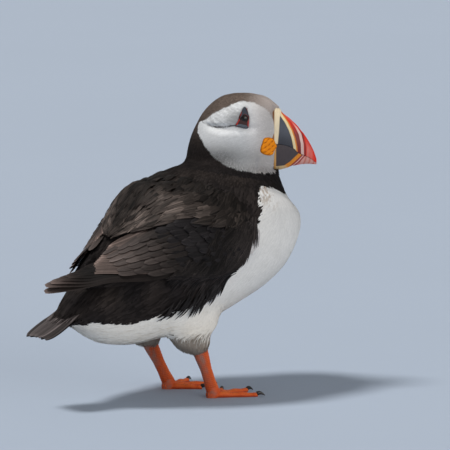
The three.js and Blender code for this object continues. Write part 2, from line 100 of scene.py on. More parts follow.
# x, z where the white of the underside ends
WHITE_EDGE = [[-127, 43], [-118, 51], [-108, 56], [-98, 55], [-88, 54.5], [-70, 58.5],
              [-50, 64.5], [-38, 70], [-30, 79], [-24, 90], [-15, 101], [-8, 109], [-4, 120],
              [1.5, 134]]
PALE_SIDE = WHITE_EDGE + [[0, 160], [95, 160], [95, 10], [-127, 10]]
# outlines on the face: along the head, height
CHEEK = [[-17.3, 170.4], [-8.3, 176.9], [-1.3, 181.2], [5.8, 184.6], [10.9, 185.8],
         [17.9, 185.2], [23.7, 182.5], [28.2, 178.8], [31, 174], [46, 170], [46, 141.5],
         [28.2, 139.6], [19.2, 140.8], [9, 142.8], [0.6, 145.9], [-6.4, 150.4],
         [-12.2, 157.5], [-16.6, 164.6]]
CREASE = [[7.8, 171.3], [4.5, 170.8], [-0.6, 169.9], [-4.5, 169.7], [-8.3, 170.1],
          [-10.2, 171], [-12.8, 172.1], [-14.4, 173.3]]
EYE_PATCH = [[12.2, 181.6], [14.2, 181.6], [15.5, 175.6], [15.5, 172], [15, 169.5],
             [10.9, 170.1], [7.4, 171.2], [9, 174.3], [10.4, 178.2]]
UPPER_PLATE = [[12.8, 182.6], [13.95, 181.7], [14.9, 178.8], [15.4, 176.6], [14.2, 177],
               [12.8, 177.4], [11.4, 176.9], [10.1, 175.7], [9.6, 175.4], [10.75, 178.2],
               [11.65, 181.3]]
LOWER_PLATE = [[7.3, 171.2], [9.6, 172.1], [12.2, 171.7], [14, 171.2], [15.1, 170.3],
               [14.7, 169.1], [13.1, 169.2], [10.2, 170.1], [8, 170.8]]
ROSETTE = [[25.2, 162.2], [28, 162.8], [31, 161.6], [32.6, 158.3], [33.2, 156.4], [31.5, 154],
           [30.3, 151.6], [27, 151.6], [23.4, 153.6], [23.1, 156.4], [24, 159.4]]
EYE = np.array([12.5, 175.4])
EYE_OPEN = 2.2                               # radius of the eye that shows
EYE_RADIUS = 4.1
# lines across the bill: along the head, height
BAND_FRONT = [[36.2, 178], [35.2, 175], [34.6, 165.3], [33.8, 157.5], [34, 141]]
SLATE_FRONT = [[34.2, 178], [34.6, 177.2], [38.4, 171.7], [41, 166.6], [42.6, 162],
               [43.8, 156.2], [44.2, 150]]
GROOVE_1 = [[36.8, 178.5], [40, 175], [43.5, 171.7], [45.8, 168.5], [48.3, 164], [49.6, 158.2],
            [49.9, 152], [49.9, 148]]
GROOVE_2 = [[40, 177.5], [46.7, 170.4], [49, 165.9], [50.6, 160.1], [51.5, 155.6], [51.2, 148]]
LOWER_SLATE = [[34.6, 143.2], [37.8, 143.9], [41.6, 146.5], [44.8, 149.7], [47.8, 152.6]]
LOWER_ORANGE = [[38.6, 141.4], [40.6, 142.6], [44.8, 146.5], [48, 149.7], [50, 152]]
LOWER_GROOVE = [[41.4, 141.8], [42.9, 143], [46.7, 146.5], [50.2, 150.4], [51.4, 152]]

# ---------------------------------------------------------------- colours (linear)
BLACK, BROWN = np.array([[0.0118, 0.0100, 0.0103], [0.034, 0.0262, 0.0225]])
# the pale forehead colour is a painted sheen of sunlight
CROWN, FOREHEAD_SHEEN = (0.168, 0.128, 0.106), (0.52, 0.455, 0.425)
# the blue-grey among the whites is a painted shadow colour, for the head's shadow on the breast
# the cream among the whites is painted warm light, bounced up from below onto the lower belly
WHITE, BOUNCE_CREAM, HEAD_SHADOW_BLUE = (0.82, 0.80, 0.765), (0.91, 0.845, 0.745), (0.50, 0.53, 0.58)
FACE, GREY = np.array([[0.74, 0.745, 0.75], [0.42, 0.42, 0.44]])
DUN, FRINGE = (0.33, 0.275, 0.225), (0.42, 0.33, 0.25)
RED, INK = np.array([[0.76, 0.032, 0.014], [0.20, 0.024, 0.022]])     # of the bill
# the darker orange is the webs' brick red, and painted shade on the undersides and backs of toes
# and legs
ORANGE, BRICK_AND_SHADE = np.array([[0.76, 0.118, 0.022], [0.50, 0.066, 0.018]])     # of the legs
SCURF = (0.24, 0.20, 0.17)


# ---------------------------------------------------------------- numbers
def between(table, t):
    """Rows read off a station table at places t, passed through smoothly."""
    tab, t = np.asarray(table, float), np.asarray(t, float)
    last = len(tab) - 1
    i = np.clip(np.floor(t).astype(int), 0, last - 1)
    f = (t - i)[..., None]
    a, b, d, e = (tab[np.clip(i + k, 0, last)] for k in (-1, 0, 1, 2))
    bend = (2 * a - 5 * b + 4 * d - e) * f ** 2
    return 0.5 * (2 * b + (d - a) * f + bend + (3 * b - a - 3 * d + e) * f ** 3)


def stations(table, steps, last=None):
    """Each column of a station table as a column of numbers at even steps."""
    last = len(table) - 1 if last is None else last
    return between(table, np.linspace(0, last, steps)).T[..., None]


def circle(count):
    return np.linspace(0, TAU, count, endpoint=False)


def unit(v):
    return v / np.maximum(np.linalg.norm(v, axis=-1, keepdims=True), 1e-9)


def dot(a, b):
    return (a * b).sum(-1, keepdims=True)


def along_skin(v, n):
    """The part of directions v that lies in the surface with normals n."""
    return unit(v - dot(v, n) * n)


def smooth(lo, hi, x):
    t = np.clip((np.asarray(x, float) - lo) / (hi - lo), 0, 1)
    return t * t * (3 - 2 * t)


def mix(a, b, w):
    w = np.asarray(w)[..., None]
    return a * (1 - w) + b * w


def paint(colour, *layers):
    """A colour with others laid over it in turn, each with its strength."""
    for over, strength in layers:
        colour = mix(colour, over, strength)
    return colour


def at(value, p):
    """A plain number or a function of place, read at places p."""
    return value(p) if callable(value) else np.full(len(p), float(value))


def wobble(p, wavelength, seed):
    """Smooth noise about -1 to 1 over space."""
    r = np.random.default_rng(seed)
    total = np.zeros(p.shape[:-1])
    for _ in range(7):
        k = unit(r.normal(size=3)) * 2 * np.pi / wavelength * r.uniform(0.6, 1.5)
        total += np.sin(p @ k + r.uniform(0, TAU))
    return total / 3.2


def line_distance(p, points, closed=False):
    """Distance to a line in the plane, and how far along it, 0 to 1."""
    pts = np.asarray(points, float)
    ends = np.roll(pts, -1, 0) if closed else pts[1:]
    best, where = np.full(len(p), 1e9), np.zeros(len(p))
    for k, (a, b) in enumerate(zip(pts, ends)):
        ab = b - a
        w = np.clip(((p - a) @ ab) / (ab @ ab), 0, 1)
        d = np.linalg.norm(p - a - w[:, None] * ab, axis=1)
        where = np.where(d < best, (k + w) / (len(pts) - 1), where)
        best = np.minimum(best, d)
    return best, where


def edge_distance(p, outline):
    """Distance to a closed outline in the plane, positive inside."""
    poly = np.asarray(outline, float)
    inside = np.zeros(len(p), bool)
    for a, b in zip(poly, np.roll(poly, -1, 0)):
        hit = (a[1] > p[:, 1]) != (b[1] > p[:, 1])
        slope = (p[:, 1] - a[1]) / np.where(b[1] == a[1], 1e-9, b[1] - a[1])
        inside ^= hit & (p[:, 0] < a[0] + slope * (b - a)[0])
    best, _ = line_distance(p, poly, closed=True)
    return np.where(inside, best, -best)


def on_head(along, left, up, turn=1.0):
    """Head coordinates (forward, left, up) put into the body's plan."""
    along, left, up = np.broadcast_arrays(*(np.asarray(v, float) for v in (along, left, up)))
    yaw = HEAD_YAW * np.asarray(turn)
    c, s = np.cos(yaw), np.sin(yaw)
    x = HEAD_AT[0] + (along - HEAD_AT[0]) * c - left * s
    y = HEAD_AT[1] * turn + (along - HEAD_AT[0]) * s + left * c
    return np.stack([x, y, up], -1)


def to_head(p):
    """The body's plan seen in head coordinates: forward, left, up."""
    c, s = np.cos(HEAD_YAW), np.sin(HEAD_YAW)
    dx, dy = p[..., 0] - HEAD_AT[0], p[..., 1] - HEAD_AT[1]
    return np.stack([HEAD_AT[0] + dx * c + dy * s, -dx * s + dy * c, p[..., 2]], -1)


HEAD_ORIGIN = on_head(0, 0, 0)
FORWARD = on_head(1, 0, 0) - HEAD_ORIGIN
LEFT = on_head(0, 1, 0) - HEAD_ORIGIN


def behind(side, part):
    """How far back a part of a leg stands: nothing on the right, its stride on the left."""
    return STRIDE[part] * (np.asarray(side) > 0)


# ---------------------------------------------------------------- meshes
def grid_faces(rows, cols, closed=False, copies=1):
    """Quads over grids of rows by cols points, closed round if asked."""
    r, c = np.meshgrid(np.arange(rows - 1), np.arange(cols if closed else cols - 1),
                       indexing="ij")
    n = (c + 1) % cols
    quad = np.stack([r * cols + c, r * cols + n, (r + 1) * cols + n, (r + 1) * cols + c], -1)
    start = np.arange(copies) * rows * cols
    return (quad.reshape(1, -1, 4) + start[:, None, None]).reshape(-1, 4)


def make(name, points, faces, material, tint=None, uv=None, normals=None, values=None):
    """A mesh object from points in the bird's plan. uv has one pair for each face corner."""
    mesh = bpy.data.meshes.new(name)
    verts = (np.asarray(points, float) + PLAN_SHIFT) * MM
    faces = faces if isinstance(faces, list) else [faces]
    sizes = np.concatenate([np.full(len(f), f.shape[1]) for f in faces])
    starts = np.cumsum(sizes) - sizes
    corners = np.concatenate([f.ravel() for f in faces])
    mesh.vertices.add(len(verts))
    mesh.vertices.foreach_set("co", verts.astype(np.float32).ravel())
    mesh.loops.add(len(corners))
    mesh.loops.foreach_set("vertex_index", corners.astype(np.int32))
    mesh.polygons.add(len(sizes))
    mesh.polygons.foreach_set("loop_start", starts.astype(np.int32))
    mesh.update(calc_edges=True)
    mesh.polygons.foreach_set("use_smooth", np.ones(len(sizes), bool))
    if tint is not None:
        layer = mesh.color_attributes.new("tint", "FLOAT_COLOR", "POINT")
        rgba = np.concatenate([tint, np.ones((len(tint), 1))], 1)
        layer.data.foreach_set("color", rgba.astype(np.float32).ravel())
    for key, column in (values or {}).items():
        layer = mesh.attributes.new(key, "FLOAT", "POINT")
        layer.data.foreach_set("value", np.asarray(column, np.float32))
    if uv is not None:
        layer = mesh.uv_layers.new(name="OFBake")
        layer.data.foreach_set("uv", np.asarray(uv, np.float32).ravel())
    mesh.validate()
    if normals is not None:
        mesh.normals_split_custom_set_from_vertices(normals.tolist())
    obj = bpy.data.objects.new(name, mesh)
    bpy.context.scene.collection.objects.link(obj)
    mesh.materials.append(material)
    return obj


def piece(name, points, faces, material, slot, tint, *nodes, **layers):
    """A visible piece on the bird's one body, in place of the CAD nodes it stands for."""
    obj = make(name, points, faces, material, tint.reshape(-1, 3), **layers)
    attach(obj, "root")
    if nodes:
        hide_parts(*nodes)


def ring_loft(rings):
    """Points and faces of a closed tube through rings (rows, points, 3)."""
    rows, cols, _ = rings.shape
    points = np.concatenate([rings.reshape(-1, 3), [rings[0].mean(0), rings[-1].mean(0)]])
    i = np.arange(cols)
    j, base = (i + 1) % cols, (rows - 1) * cols
    first, last = np.full((2, cols), [[len(points) - 2], [len(points) - 1]])
    return points, [grid_faces(rows, cols, closed=True), np.stack([first, j, i], -1),
                    np.stack([last, base + i, base + j], -1)]


def joined(parts):
    """Several (points, faces) put into one."""
    points, faces, base = [], [], 0
    for p, fs in parts:
        points.append(p)
        faces += [f + base for f in fs]
        base += len(p)
    return np.concatenate(points), faces


def normals_of(p, quads):
    """Smooth normals at the points of a mesh."""
    normal = np.zeros_like(p)
    across = np.cross(p[quads[:, 2]] - p[quads[:, 0]], p[quads[:, 3]] - p[quads[:, 1]])
    for k in range(4):
        for axis in range(3):
            normal[:, axis] += np.bincount(quads[:, k], across[:, axis], len(p))
    return unit(normal)


def tree_of(points):
    tree = kdtree.KDTree(len(points))
    for i, q in enumerate(points.tolist()):
        tree.insert(q, i)
    tree.balance()
    return tree


# ---------------------------------------------------------------- the body's surfaces
def trunk_rings(steps, count, grow):
    x, z, half, up, down, lean = stations(TRUNK, steps)
    s, c, lean = np.sin(circle(count)), np.cos(circle(count)), np.radians(lean)
    reach = np.where(s > 0, up + grow, down + grow) * s
    return np.stack([x - np.sin(lean) * reach, (half + grow) * c, z + np.cos(lean) * reach], -1)


def head_rings(steps, count):
    z, nape, front, half, taper, turn = stations(NECK, steps)
    s, c, w = np.sin(circle(count)), np.cos(circle(count)), smooth(138, 150, z)
    inset = BODY_COAT * (1 - w) + HEAD_COAT * w
    along = (nape + front) / 2 + ((front - nape) / 2 - inset) * c
    side = (half - inset) * s * (1 - taper * (0.5 + 0.5 * c) ** 1.6)
    return on_head(along, side, z - np.where(z > 189, inset, 0), turn)


def shell(side, t, f, h=0.0):
    """A point on the folded wing: station t, share f from lower to upper edge, h above."""
    t, f, h = np.broadcast_arrays(*(np.asarray(v, float) for v in (t, f, h)))
    x, z, half, high, low, top, _, lean = np.moveaxis(between(WING, t), -1, 0)
    a, lean = np.radians(low + (top - low) * f), np.radians(lean)
    reach = (high + h) * np.sin(a)
    tuck = np.where(side > 0, np.clip((t - 4) / 4, 0, 1) ** 1.5, 0)
    place = np.stack([x - np.sin(lean) * reach, side * (half + h) * np.cos(a),
                      z + np.cos(lean) * reach], -1)
    return place + TUCK * tuck[..., None]


def shell_normal(side, t, f):
    du = shell(side, t, f + 0.01) - shell(side, t, f - 0.01)
    dt = shell(side, t + 0.01, f) - shell(side, t - 0.01, f)
    return unit(np.cross(dt, du)) * side


def wing_rings(side, steps, across, inset):
    """The wing's flesh under its feathers."""
    t, f = np.linspace(0.1, 6.4, steps)[:, None], np.linspace(0.06, 0.94, across)
    depth = between(WING, t)[..., 6] * np.sin(np.pi * (0.07 + 0.86 * f)) ** 0.5
    inner = shell(side, t, f, -inset - np.maximum(depth, 1.5) - 2)
    return np.concatenate([shell(side, t, f, -inset), inner[:, ::-1]], 1)


def leg_rings(side, steps, count, inset):
    x, z, long, wide = stations(THIGH, steps)
    a = circle(count)
    return np.stack([x - behind(side, "thigh") + (long - inset) * np.cos(a),
                     side * LEG_SIDE + (wide - inset) * np.sin(a), z + 0 * a], -1)


def tail_rings(steps, count, inset):
    x, z, half, thick, droop = stations(TAIL, steps, 2.4)
    s, c = np.sin(circle(count)), np.cos(circle(count))
    return np.stack([x + 0 * c, (half - 2) * c, z - droop * c * c + (thick - inset) * s], -1)


WING_T, WING_F = (v.ravel() for v in np.meshgrid(
    np.linspace(0, 8, 100), np.linspace(-0.04, 1.0, 40), indexing="ij"))
WING_TREE = tree_of(np.concatenate([shell(side, WING_T, WING_F, -BODY_COAT)
                                    for side, _ in SIDES]))


def on_wing(p):
    """How far places are off the folded wing, with the station and share nearest to them."""
    found = [WING_TREE.find(q) for q in p.tolist()]
    index = np.array([i for _, i, _ in found]) % len(WING_T)
    return np.array([d for _, _, d in found]), WING_T[index], WING_F[index]


# ---------------------------------------------------------------- markings
def below_collar(p):
    """Distance below the collar, the slanting plane where the neck's coat starts."""
    return 131.9 - (0.188 * p[:, 0] + 0.982 * p[:, 2])


def below_white(p):
    """Distance below the top of the white, which dips toward the front of the breast."""
    return below_collar(p) - (4.0 * smooth(8, 30, p[:, 0]) - 0.8)


def paleness(p):
    """Distance inside the white of the breast and belly, negative in the dark."""
    rough = 1.6 * wobble(p, 14, 3)
    edge = edge_distance(p[:, [0, 2]], PALE_SIDE) - 0.15 * np.maximum(np.abs(p[:, 1]) - 40, 0) \
        * smooth(108, 118, p[:, 2])
    return np.minimum(edge + rough, below_white(p) * 1.2 + 0.4 * rough)


def from_leg(p):
    """Distance from a thigh's upright line, and x as if both legs stood side by side."""
    x = p[:, 0] + behind(p[:, 1], "thigh")
    return np.hypot(x - LEG_X, np.abs(p[:, 1]) - LEG_SIDE), x


def near_leg(p):
    """How close a place is to the feathered top of a leg."""
    return smooth(16, 12.5, from_leg(p)[0])


def body_markings(p, jitter, blur):
    x, y, z = p.T
    dark = mix(BLACK, BROWN, 0.35 + 0.25 * wobble(p, 26, 5))
    # darker over the folded wing's middle: the black of the small coverts, deepened with painted
    # shade
    deep = np.hypot((x + 47) / 30, (z - 100 - 0.2 * (x + 47)) / 20)
    dark = dark * (1 - 0.6 * smooth(1.3, 0.7, deep) * (np.abs(y) > 25))[:, None]
    # painted shadow of the head over the top of the breast, in blue-grey
    head_shadow = smooth(26, 0, np.linalg.norm(p - [8, 0, 120], axis=1) - 24)
    comb = np.clip(0.25 + 1.3 * (wobble(p * [1.0, 1.0, 0.25], 2.4, 27) - 0.1), 0, 0.8)
    fringe = smooth(18, 4, below_white(p)) * smooth(16, 6, x) * (x > -20)
    # the lower belly is warmed with painted bounce light from below
    snow = paint(WHITE, (BOUNCE_CREAM, smooth(75, 40, z) * 0.8), (HEAD_SHADOW_BLUE, 0.7 * head_shadow),
                 (FRINGE, comb * fringe))
    frayed = z + 0.06 * (from_leg(p)[1] - LEG_X) + 1.2 * wobble(p, 9, 4)
    cuff = near_leg(p) * smooth(43.0, 37.0, frayed + 0.9 * jitter * (jitter < 2.5))
    return paint(dark, (snow, smooth(-0.7 * blur, 0.7 * blur, paleness(p) + jitter)),
                 (DUN, cuff))


def crease_height(along):
    """Height of the fold that runs from the eye to the back of the face."""
    return np.interp(along, [-12, -6, 0, 6, 10, 16, 24],
                     [171.5, 170.6, 170.2, 170.6, 170.2, 169.6, 171])


def painted_face_light(along, z):
    """Painted light and shade on the white face: painted shade over the lower cheek, its bottom
    edge and the front by the bill, a painted highlight band under the crease, and painted shadow
    behind the eye.
    """
    rear = smooth(17, -3, along)
    # painted shade: the lower cheek, deepest at its rear, then its bottom edge and the front by
    # the bill
    tone = 0.94 + (0.57 - 0.27 * rear - 0.94) * smooth(164, 150, z)
    tone *= 1 - 0.38 * smooth(148.5, 142, z - 0.12 * (10 - along))
    tone *= 1 - 0.25 * smooth(17, 29, along) * smooth(152, 160, z)
    below = crease_height(along) - z
    # a painted highlight band just under the crease
    band = smooth(0, 1.5, below) * smooth(6.5, 3.0, below) * smooth(-13, -5, along)
    tone += 0.30 * band * smooth(22, 17, along)
    # painted shadow in the socket behind the eye, above the crease
    socket_shadow = np.hypot((along - 8) / 10, (z - 175.5) / 6)
    return tone * (1 - 0.45 * smooth(1.1, 0.2, socket_shadow) * (below < 1)), below


def head_markings(p, jitter, blur):
    h = to_head(p)
    along, left, z = h.T
    flat = h[:, [0, 2]]
    # painted sunlit sheen on the forehead above the bill
    forehead_sheen = smooth(10, 30, along - 0.5 * wobble(p, 6, 12)) * smooth(170, 182, z)
    nape = paint(BLACK, (CROWN, smooth(154, 183, z) * 0.9), (FOREHEAD_SHEEN, 0.8 * forehead_sheen),
                 (BROWN, 0.3 * smooth(20, -10, along) * smooth(138, 150, z)))
    tone, below = painted_face_light(along, z)
    # the white face carries the painted light and shade
    face = np.clip(FACE * tone[:, None], 0, 0.9)
    face = mix(face, face * [1.04, 0.98, 0.95], smooth(10, 26, along))
    slope = np.where(below < 0, 0.35, -0.30)
    sweep = np.stack([along * 0.20, left * 0.5, z + slope * along], -1)
    streak = 0.6 * wobble(sweep, 1.7, 18) + 0.4 * wobble(sweep, 0.9, 28)
    face = face * (1 - (0.05 + 0.20 * (below < 0) * smooth(15, 6, along)) * streak)[:, None]
    gap, course = line_distance(flat, CREASE)
    spot = wobble(p, 4, 15) * smooth(6, 2, np.hypot(along - 19.5, (z - 147) * 0.8))
    face = paint(face, (BLACK * 3, smooth(0.75, 0.25, gap) * smooth(1.05, 0.4, course)),
                 (GREY * 0.8, 0.5 * np.clip(spot, 0, 1)),
                 (BLACK * 6, 0.8 * smooth(-0.3, 0.3, edge_distance(flat, EYE_PATCH))))
    disc = edge_distance(flat, CHEEK) + 0.3 * wobble(p, 5, 8) + 0.25 * jitter
    disc = np.minimum(disc, np.abs(left) - 5.5 + 0.3 * jitter)
    return mix(nape, face, smooth(-0.25 * blur, 0.25 * blur, disc))


def markings(p, jitter=0.0, blur=1.0):
    """Plumage colour at places on the body, with its painted light and shade, the same for skin
    and feathers.
    """
    is_head = (below_collar(p) < -4) & (paleness(p) < 0)
    return np.where(is_head[:, None], head_markings(p, jitter, blur),
                    body_markings(p, jitter, blur))


# ---------------------------------------------------------------- unwrapping
# trunk, head and neck, right thigh, left thigh: u from and to, place along the chart's axis
# from and to, v from and to
CHARTS = ((0.03, 0.60, -150, 70, 0.02, 0.98), (0.66, 0.97, 125, 192, 0.52, 0.98),
          (0.66, 0.80, 26, 42, 0.30, 0.46), (0.83, 0.97, 26, 42, 0.30, 0.46))
AXIS_X, AXIS_Z = 0.86, 0.51                  # the way the trunk's axis runs


def polar(p, chart):
    """Angle round a chart's axis and place along the axis."""
    x, y, z = to_head(p).T if chart == 1 else p.T
    if chart == 1:
        return -np.arctan2(y, x - 9), z
    if chart == 0:
        rise = -(x + 40) * AXIS_Z + (z - 87) * AXIS_X
        return -np.arctan2(y, -rise), x * AXIS_X + (z - 87) * AXIS_Z
    return -np.arctan2(np.abs(y) - LEG_SIDE, x + behind(chart - 2, "thigh") - LEG_X), z


def unwrap(p, near):
    """UV on charts rolled out round the trunk, the head and each thigh. near holds a place
    on the same sheet as each point, so that a face across a seam stays in one piece."""
    on_thigh = (near[:, 2] < 41) & (from_leg(near)[0] < 15)
    chart = np.where(below_collar(near) < 0, 1, np.where(on_thigh, 2 + (near[:, 1] > 0), 0))
    uv = np.zeros((len(p), 2))
    for k, (u0, u1, a0, a1, v0, v1) in enumerate(CHARTS):
        pick = chart == k
        turn, along = polar(p[pick], k)
        home, _ = polar(near[pick], k)
        turn = home + (turn - home + np.pi) % TAU - np.pi
        uv[pick, 0] = u0 + (u1 - u0) * (turn + np.pi) / TAU
        uv[pick, 1] = v0 + (v1 - v0) * (along - a0) / (a1 - a0)
    return np.clip(uv, 0.002, 0.998)


# ---------------------------------------------------------------- materials
def nodes_of(name, **inputs):
    material = bpy.data.materials.new(name)
    material.use_nodes = True
    tree = material.node_tree
    shader = tree.nodes["Principled BSDF"]
    set_inputs(shader, inputs)
    return material, tree, shader


def set_inputs(node, values):
    """Gives a node's inputs their values, or links them where another node's output is given."""
    for key, value in values.items():
        slot = node.inputs[int(key[2:]) if key.startswith("in") else key.replace("_", " ")]
        if isinstance(value, bpy.types.NodeSocket):
            node.id_data.links.new(value, slot)
        else:
            slot.default_value = value


def add(tree, kind, operation=None, attribute=None, **inputs):
    """A shader node. Inputs are named, or numbered as in0, in1."""
    node = tree.nodes.new("ShaderNode" + kind)
    if operation:
        node.operation = operation
    if attribute:
        node.attribute_name = attribute
    set_inputs(node, inputs)
    return node.outputs


def noise_over(tree, scale, detail=3.0, stretch=None):
    where = add(tree, "TexCoord")["Object"]
    if stretch:
        where = add(tree, "Mapping", Vector=where, Scale=stretch)[0]
    return add(tree, "TexNoise", Scale=scale, Detail=detail, Vector=where)["Fac"]


def shade_by(tree, colour, factor, low, high):
    """Colour multiplied by a range that follows factor."""
    reach = add(tree, "MapRange", To_Min=low, To_Max=high, Value=factor)
    return add(tree, "VectorMath", "SCALE", in0=colour, Scale=reach[0])[0]


def bump(tree, shader, height, strength, distance=0.0004):
    lift = add(tree, "Bump", Strength=strength, Distance=distance, Height=height)
    set_inputs(shader, {"Normal": lift[0]})


def plumage(name, roughness, low, high, scale, barbs=0.0):
    """Feather or skin that takes its markings from the tint on its points."""
    material, tree, shader = nodes_of(name, Roughness=roughness, Specular_IOR_Level=0.08)
    tint = add(tree, "Attribute", attribute="tint")["Color"]
    colour = shade_by(tree, tint, noise_over(tree, scale), low, high)
    if barbs:
        across = add(tree, "Attribute", attribute="across")["Fac"]
        along = add(tree, "Attribute", attribute="along")["Fac"]
        slant = add(tree, "Math", "ABSOLUTE", in0=across)[0]
        run = add(tree, "Math", "MULTIPLY_ADD", in0=slant, in1=-1.3, in2=along)[0]
        beat = add(tree, "Math", "MULTIPLY", in0=run, in1=5.0)[0]
        ripple = add(tree, "Math", "SINE", in0=beat)[0]
        height = add(tree, "MapRange", From_Min=-1, Value=ripple)[0]
        colour = shade_by(tree, colour, height, 1 - barbs, 1 + barbs)
        bump(tree, shader, height, 0.12)
    else:
        bump(tree, shader, noise_over(tree, scale * 3.1, 2.0), 0.35)
    set_inputs(shader, {"Base Color": colour})
    return material


def horn(name, roughness, coat, scale, low, high, strength, stretch=None, specular=0.3):
    """Horn, skin or claw that takes its colour from the tint on its points."""
    material, tree, shader = nodes_of(name, Roughness=roughness, Specular_IOR_Level=specular,
                                      Coat_Weight=coat, Coat_Roughness=0.25)
    tint = add(tree, "Attribute", attribute="tint")["Color"]
    noise = noise_over(tree, scale, 4.0, stretch)
    set_inputs(shader, {"Base Color": shade_by(tree, tint, noise, low, high)})
    bump(tree, shader, noise, strength, 0.0003)
    return material


SKIN = plumage("skin", 0.95, 0.88, 1.0, 300)
SOFT = plumage("soft_plumage", 0.85, 0.9, 1.08, 700)
VANE = plumage("vaned_feather", 0.55, 0.78, 1.2, 500, barbs=0.045)
BILL_HORN = horn("bill_horn", 0.42, 0.06, 700, 0.82, 1.12, 0.25, (1, 1, 0.3), specular=0.2)
PLATE_HORN = horn("plate_horn", 0.55, 0.0, 900, 0.75, 1.2, 0.4)
GAPE_SKIN = horn("gape_skin", 0.55, 0.0, 900, 0.8, 1.15, 0.5, specular=0.12)
LEG_SKIN = horn("leg_skin", 0.5, 0.05, 1100, 0.76, 1.18, 0.6, specular=0.18)
CLAW_HORN = horn("claw_horn", 0.3, 0.3, 900, 0.7, 1.3, 0.2)
EYE_GLOSS = horn("eye_gloss", 0.06, 0.25, 1500, 0.8, 1.2, 0.0, specular=0.25)


# ---------------------------------------------------------------- skin
def remeshed(points, faces, voxel, passes, filling):
    """One skin over overlapping bodies, smoothed, with the hollows of the body filled."""
    rough = make("rough", points, faces, SKIN)
    cut = rough.modifiers.new("one_skin", "REMESH")
    cut.mode = "VOXEL"
    cut.voxel_size = voxel * MM
    done = rough.evaluated_get(bpy.context.evaluated_depsgraph_get()).to_mesh()
    co = np.zeros(len(done.vertices) * 3, np.float32)
    done.vertices.foreach_get("co", co)
    p = co.reshape(-1, 3).astype(float) * 1000 - PLAN_SHIFT
    corners = np.zeros(len(done.loops), np.int32)
    done.loops.foreach_get("vertex_index", corners)
    quads = corners.reshape(-1, 4)
    bpy.data.objects.remove(rough)
    ends = np.concatenate([quads[:, [k, (k + 1) % 4]] for k in range(4)])
    count = np.bincount(ends.ravel(), minlength=len(p))[:, None]

    def pulled(p):
        pull = np.zeros_like(p)
        for a, b in ((0, 1), (1, 0)):
            for axis in range(3):
                pull[:, axis] += np.bincount(ends[:, a], p[ends[:, b], axis], len(p))
        return pull / count - p

    def evened(p, passes):
        for k in range(passes):
            p = p + (0.55 if k % 2 == 0 else -0.2) * pulled(p)
        return p

    p = evened(p, passes)
    # bare legs and the face keep their own shape
    open_to = smooth(150, 140, p[:, 2]) * smooth(36, 42, p[:, 2])
    for k in range(filling):
        if k % 10 == 0:
            normal = normals_of(p, quads)
        out = np.maximum(dot(pulled(p), normal)[:, 0], 0) * open_to
        p = p + 0.9 * out[:, None] * normal
    return evened(p, 6), quads


def feathers_end(h):
    """How far along the head the feathers reach: further over the top of the bill."""
    peak = smooth(6.0, 1.0, np.abs(h[:, 1])) * smooth(172, 180, h[:, 2])
    side = np.interp(h[:, 2], [143, 157, 170, 180], [-0.3, 0.9, 0.3, -1.0])
    return FEATHERS_END + side * (1 - peak) + 3.6 * peak


def body_skin():
    parts = [trunk_rings(120, 96, -BODY_COAT), head_rings(110, 96), tail_rings(24, 32, 1.6)]
    for side, _ in SIDES:
        parts += [wing_rings(side, 60, 26, BODY_COAT + 0.2), leg_rings(side, 30, 36, 1.0)]
    p, quads = remeshed(*joined([ring_loft(rings) for rings in parts]), 1.15, 8, 140)
    # the face ends where the bill's horn starts, and dips in at the eye and its crease
    h = to_head(p)
    along, left, z = h.T
    flat = h[:, [0, 2]]
    p = p - (1.1 * smooth(27, 34, along) * smooth(176, 182, z))[:, None] * UP
    p = p - (np.maximum(along - feathers_end(h), 0) * (z > 141))[:, None] * FORWARD
    groove, course = line_distance(flat, CREASE)
    below = crease_height(along) - z
    shelf = smooth(7.0, 0.5, below) * (below > 0) + smooth(-1.6, 0, below) * (below <= 0)
    chin = np.clip((160 - z) / 18, 0, 1) ** 2
    deep = (0.9 * smooth(-1.6, 0.4, edge_distance(flat, EYE_PATCH))
            + 1.6 * smooth(3.0, 2.2, np.hypot(*(flat - EYE).T))
            + 0.5 * smooth(2.0, 0.2, groove) * smooth(1.05, 0.3, course)
            + 1.5 * shelf * smooth(-15, -8, along) * smooth(23, 14, along)
            - 0.7 * smooth(1.1, 0.3, np.hypot(along / 10, (z - 176.5) / 5))
            + 2.4 * chin * smooth(30, 20, along) * smooth(132, 143, z))
    side = np.sign(left) * (np.abs(left) > 6)
    p = p - (deep * side)[:, None] * LEFT
    return p, quads, normals_of(p, quads)


skin_p, skin_f, skin_n = body_skin()
skin_tree = BVHTree.FromPolygons(skin_p.tolist(), skin_f.tolist())
skin_mids = skin_p[skin_f].mean(1)
piece("skin", skin_p, skin_f, SKIN, "plumage_black", markings(skin_p), "head", "neck", "trunk",
      "breast_belly", "cheek_right", "cheek_left", "thigh_right", "thigh_left", "wing_right",
      "wing_left", uv=unwrap(skin_p[skin_f].reshape(-1, 3), np.repeat(skin_mids, 4, 0)))


def closest(points):
    """Nearest places on the skin and the smooth normals there."""
    places, faces = np.empty_like(points), np.empty(len(points), int)
    for i, q in enumerate(points.tolist()):
        places[i], _, faces[i], _ = skin_tree.find_nearest(q)
    return places, unit(skin_n[skin_f[faces]].mean(1))


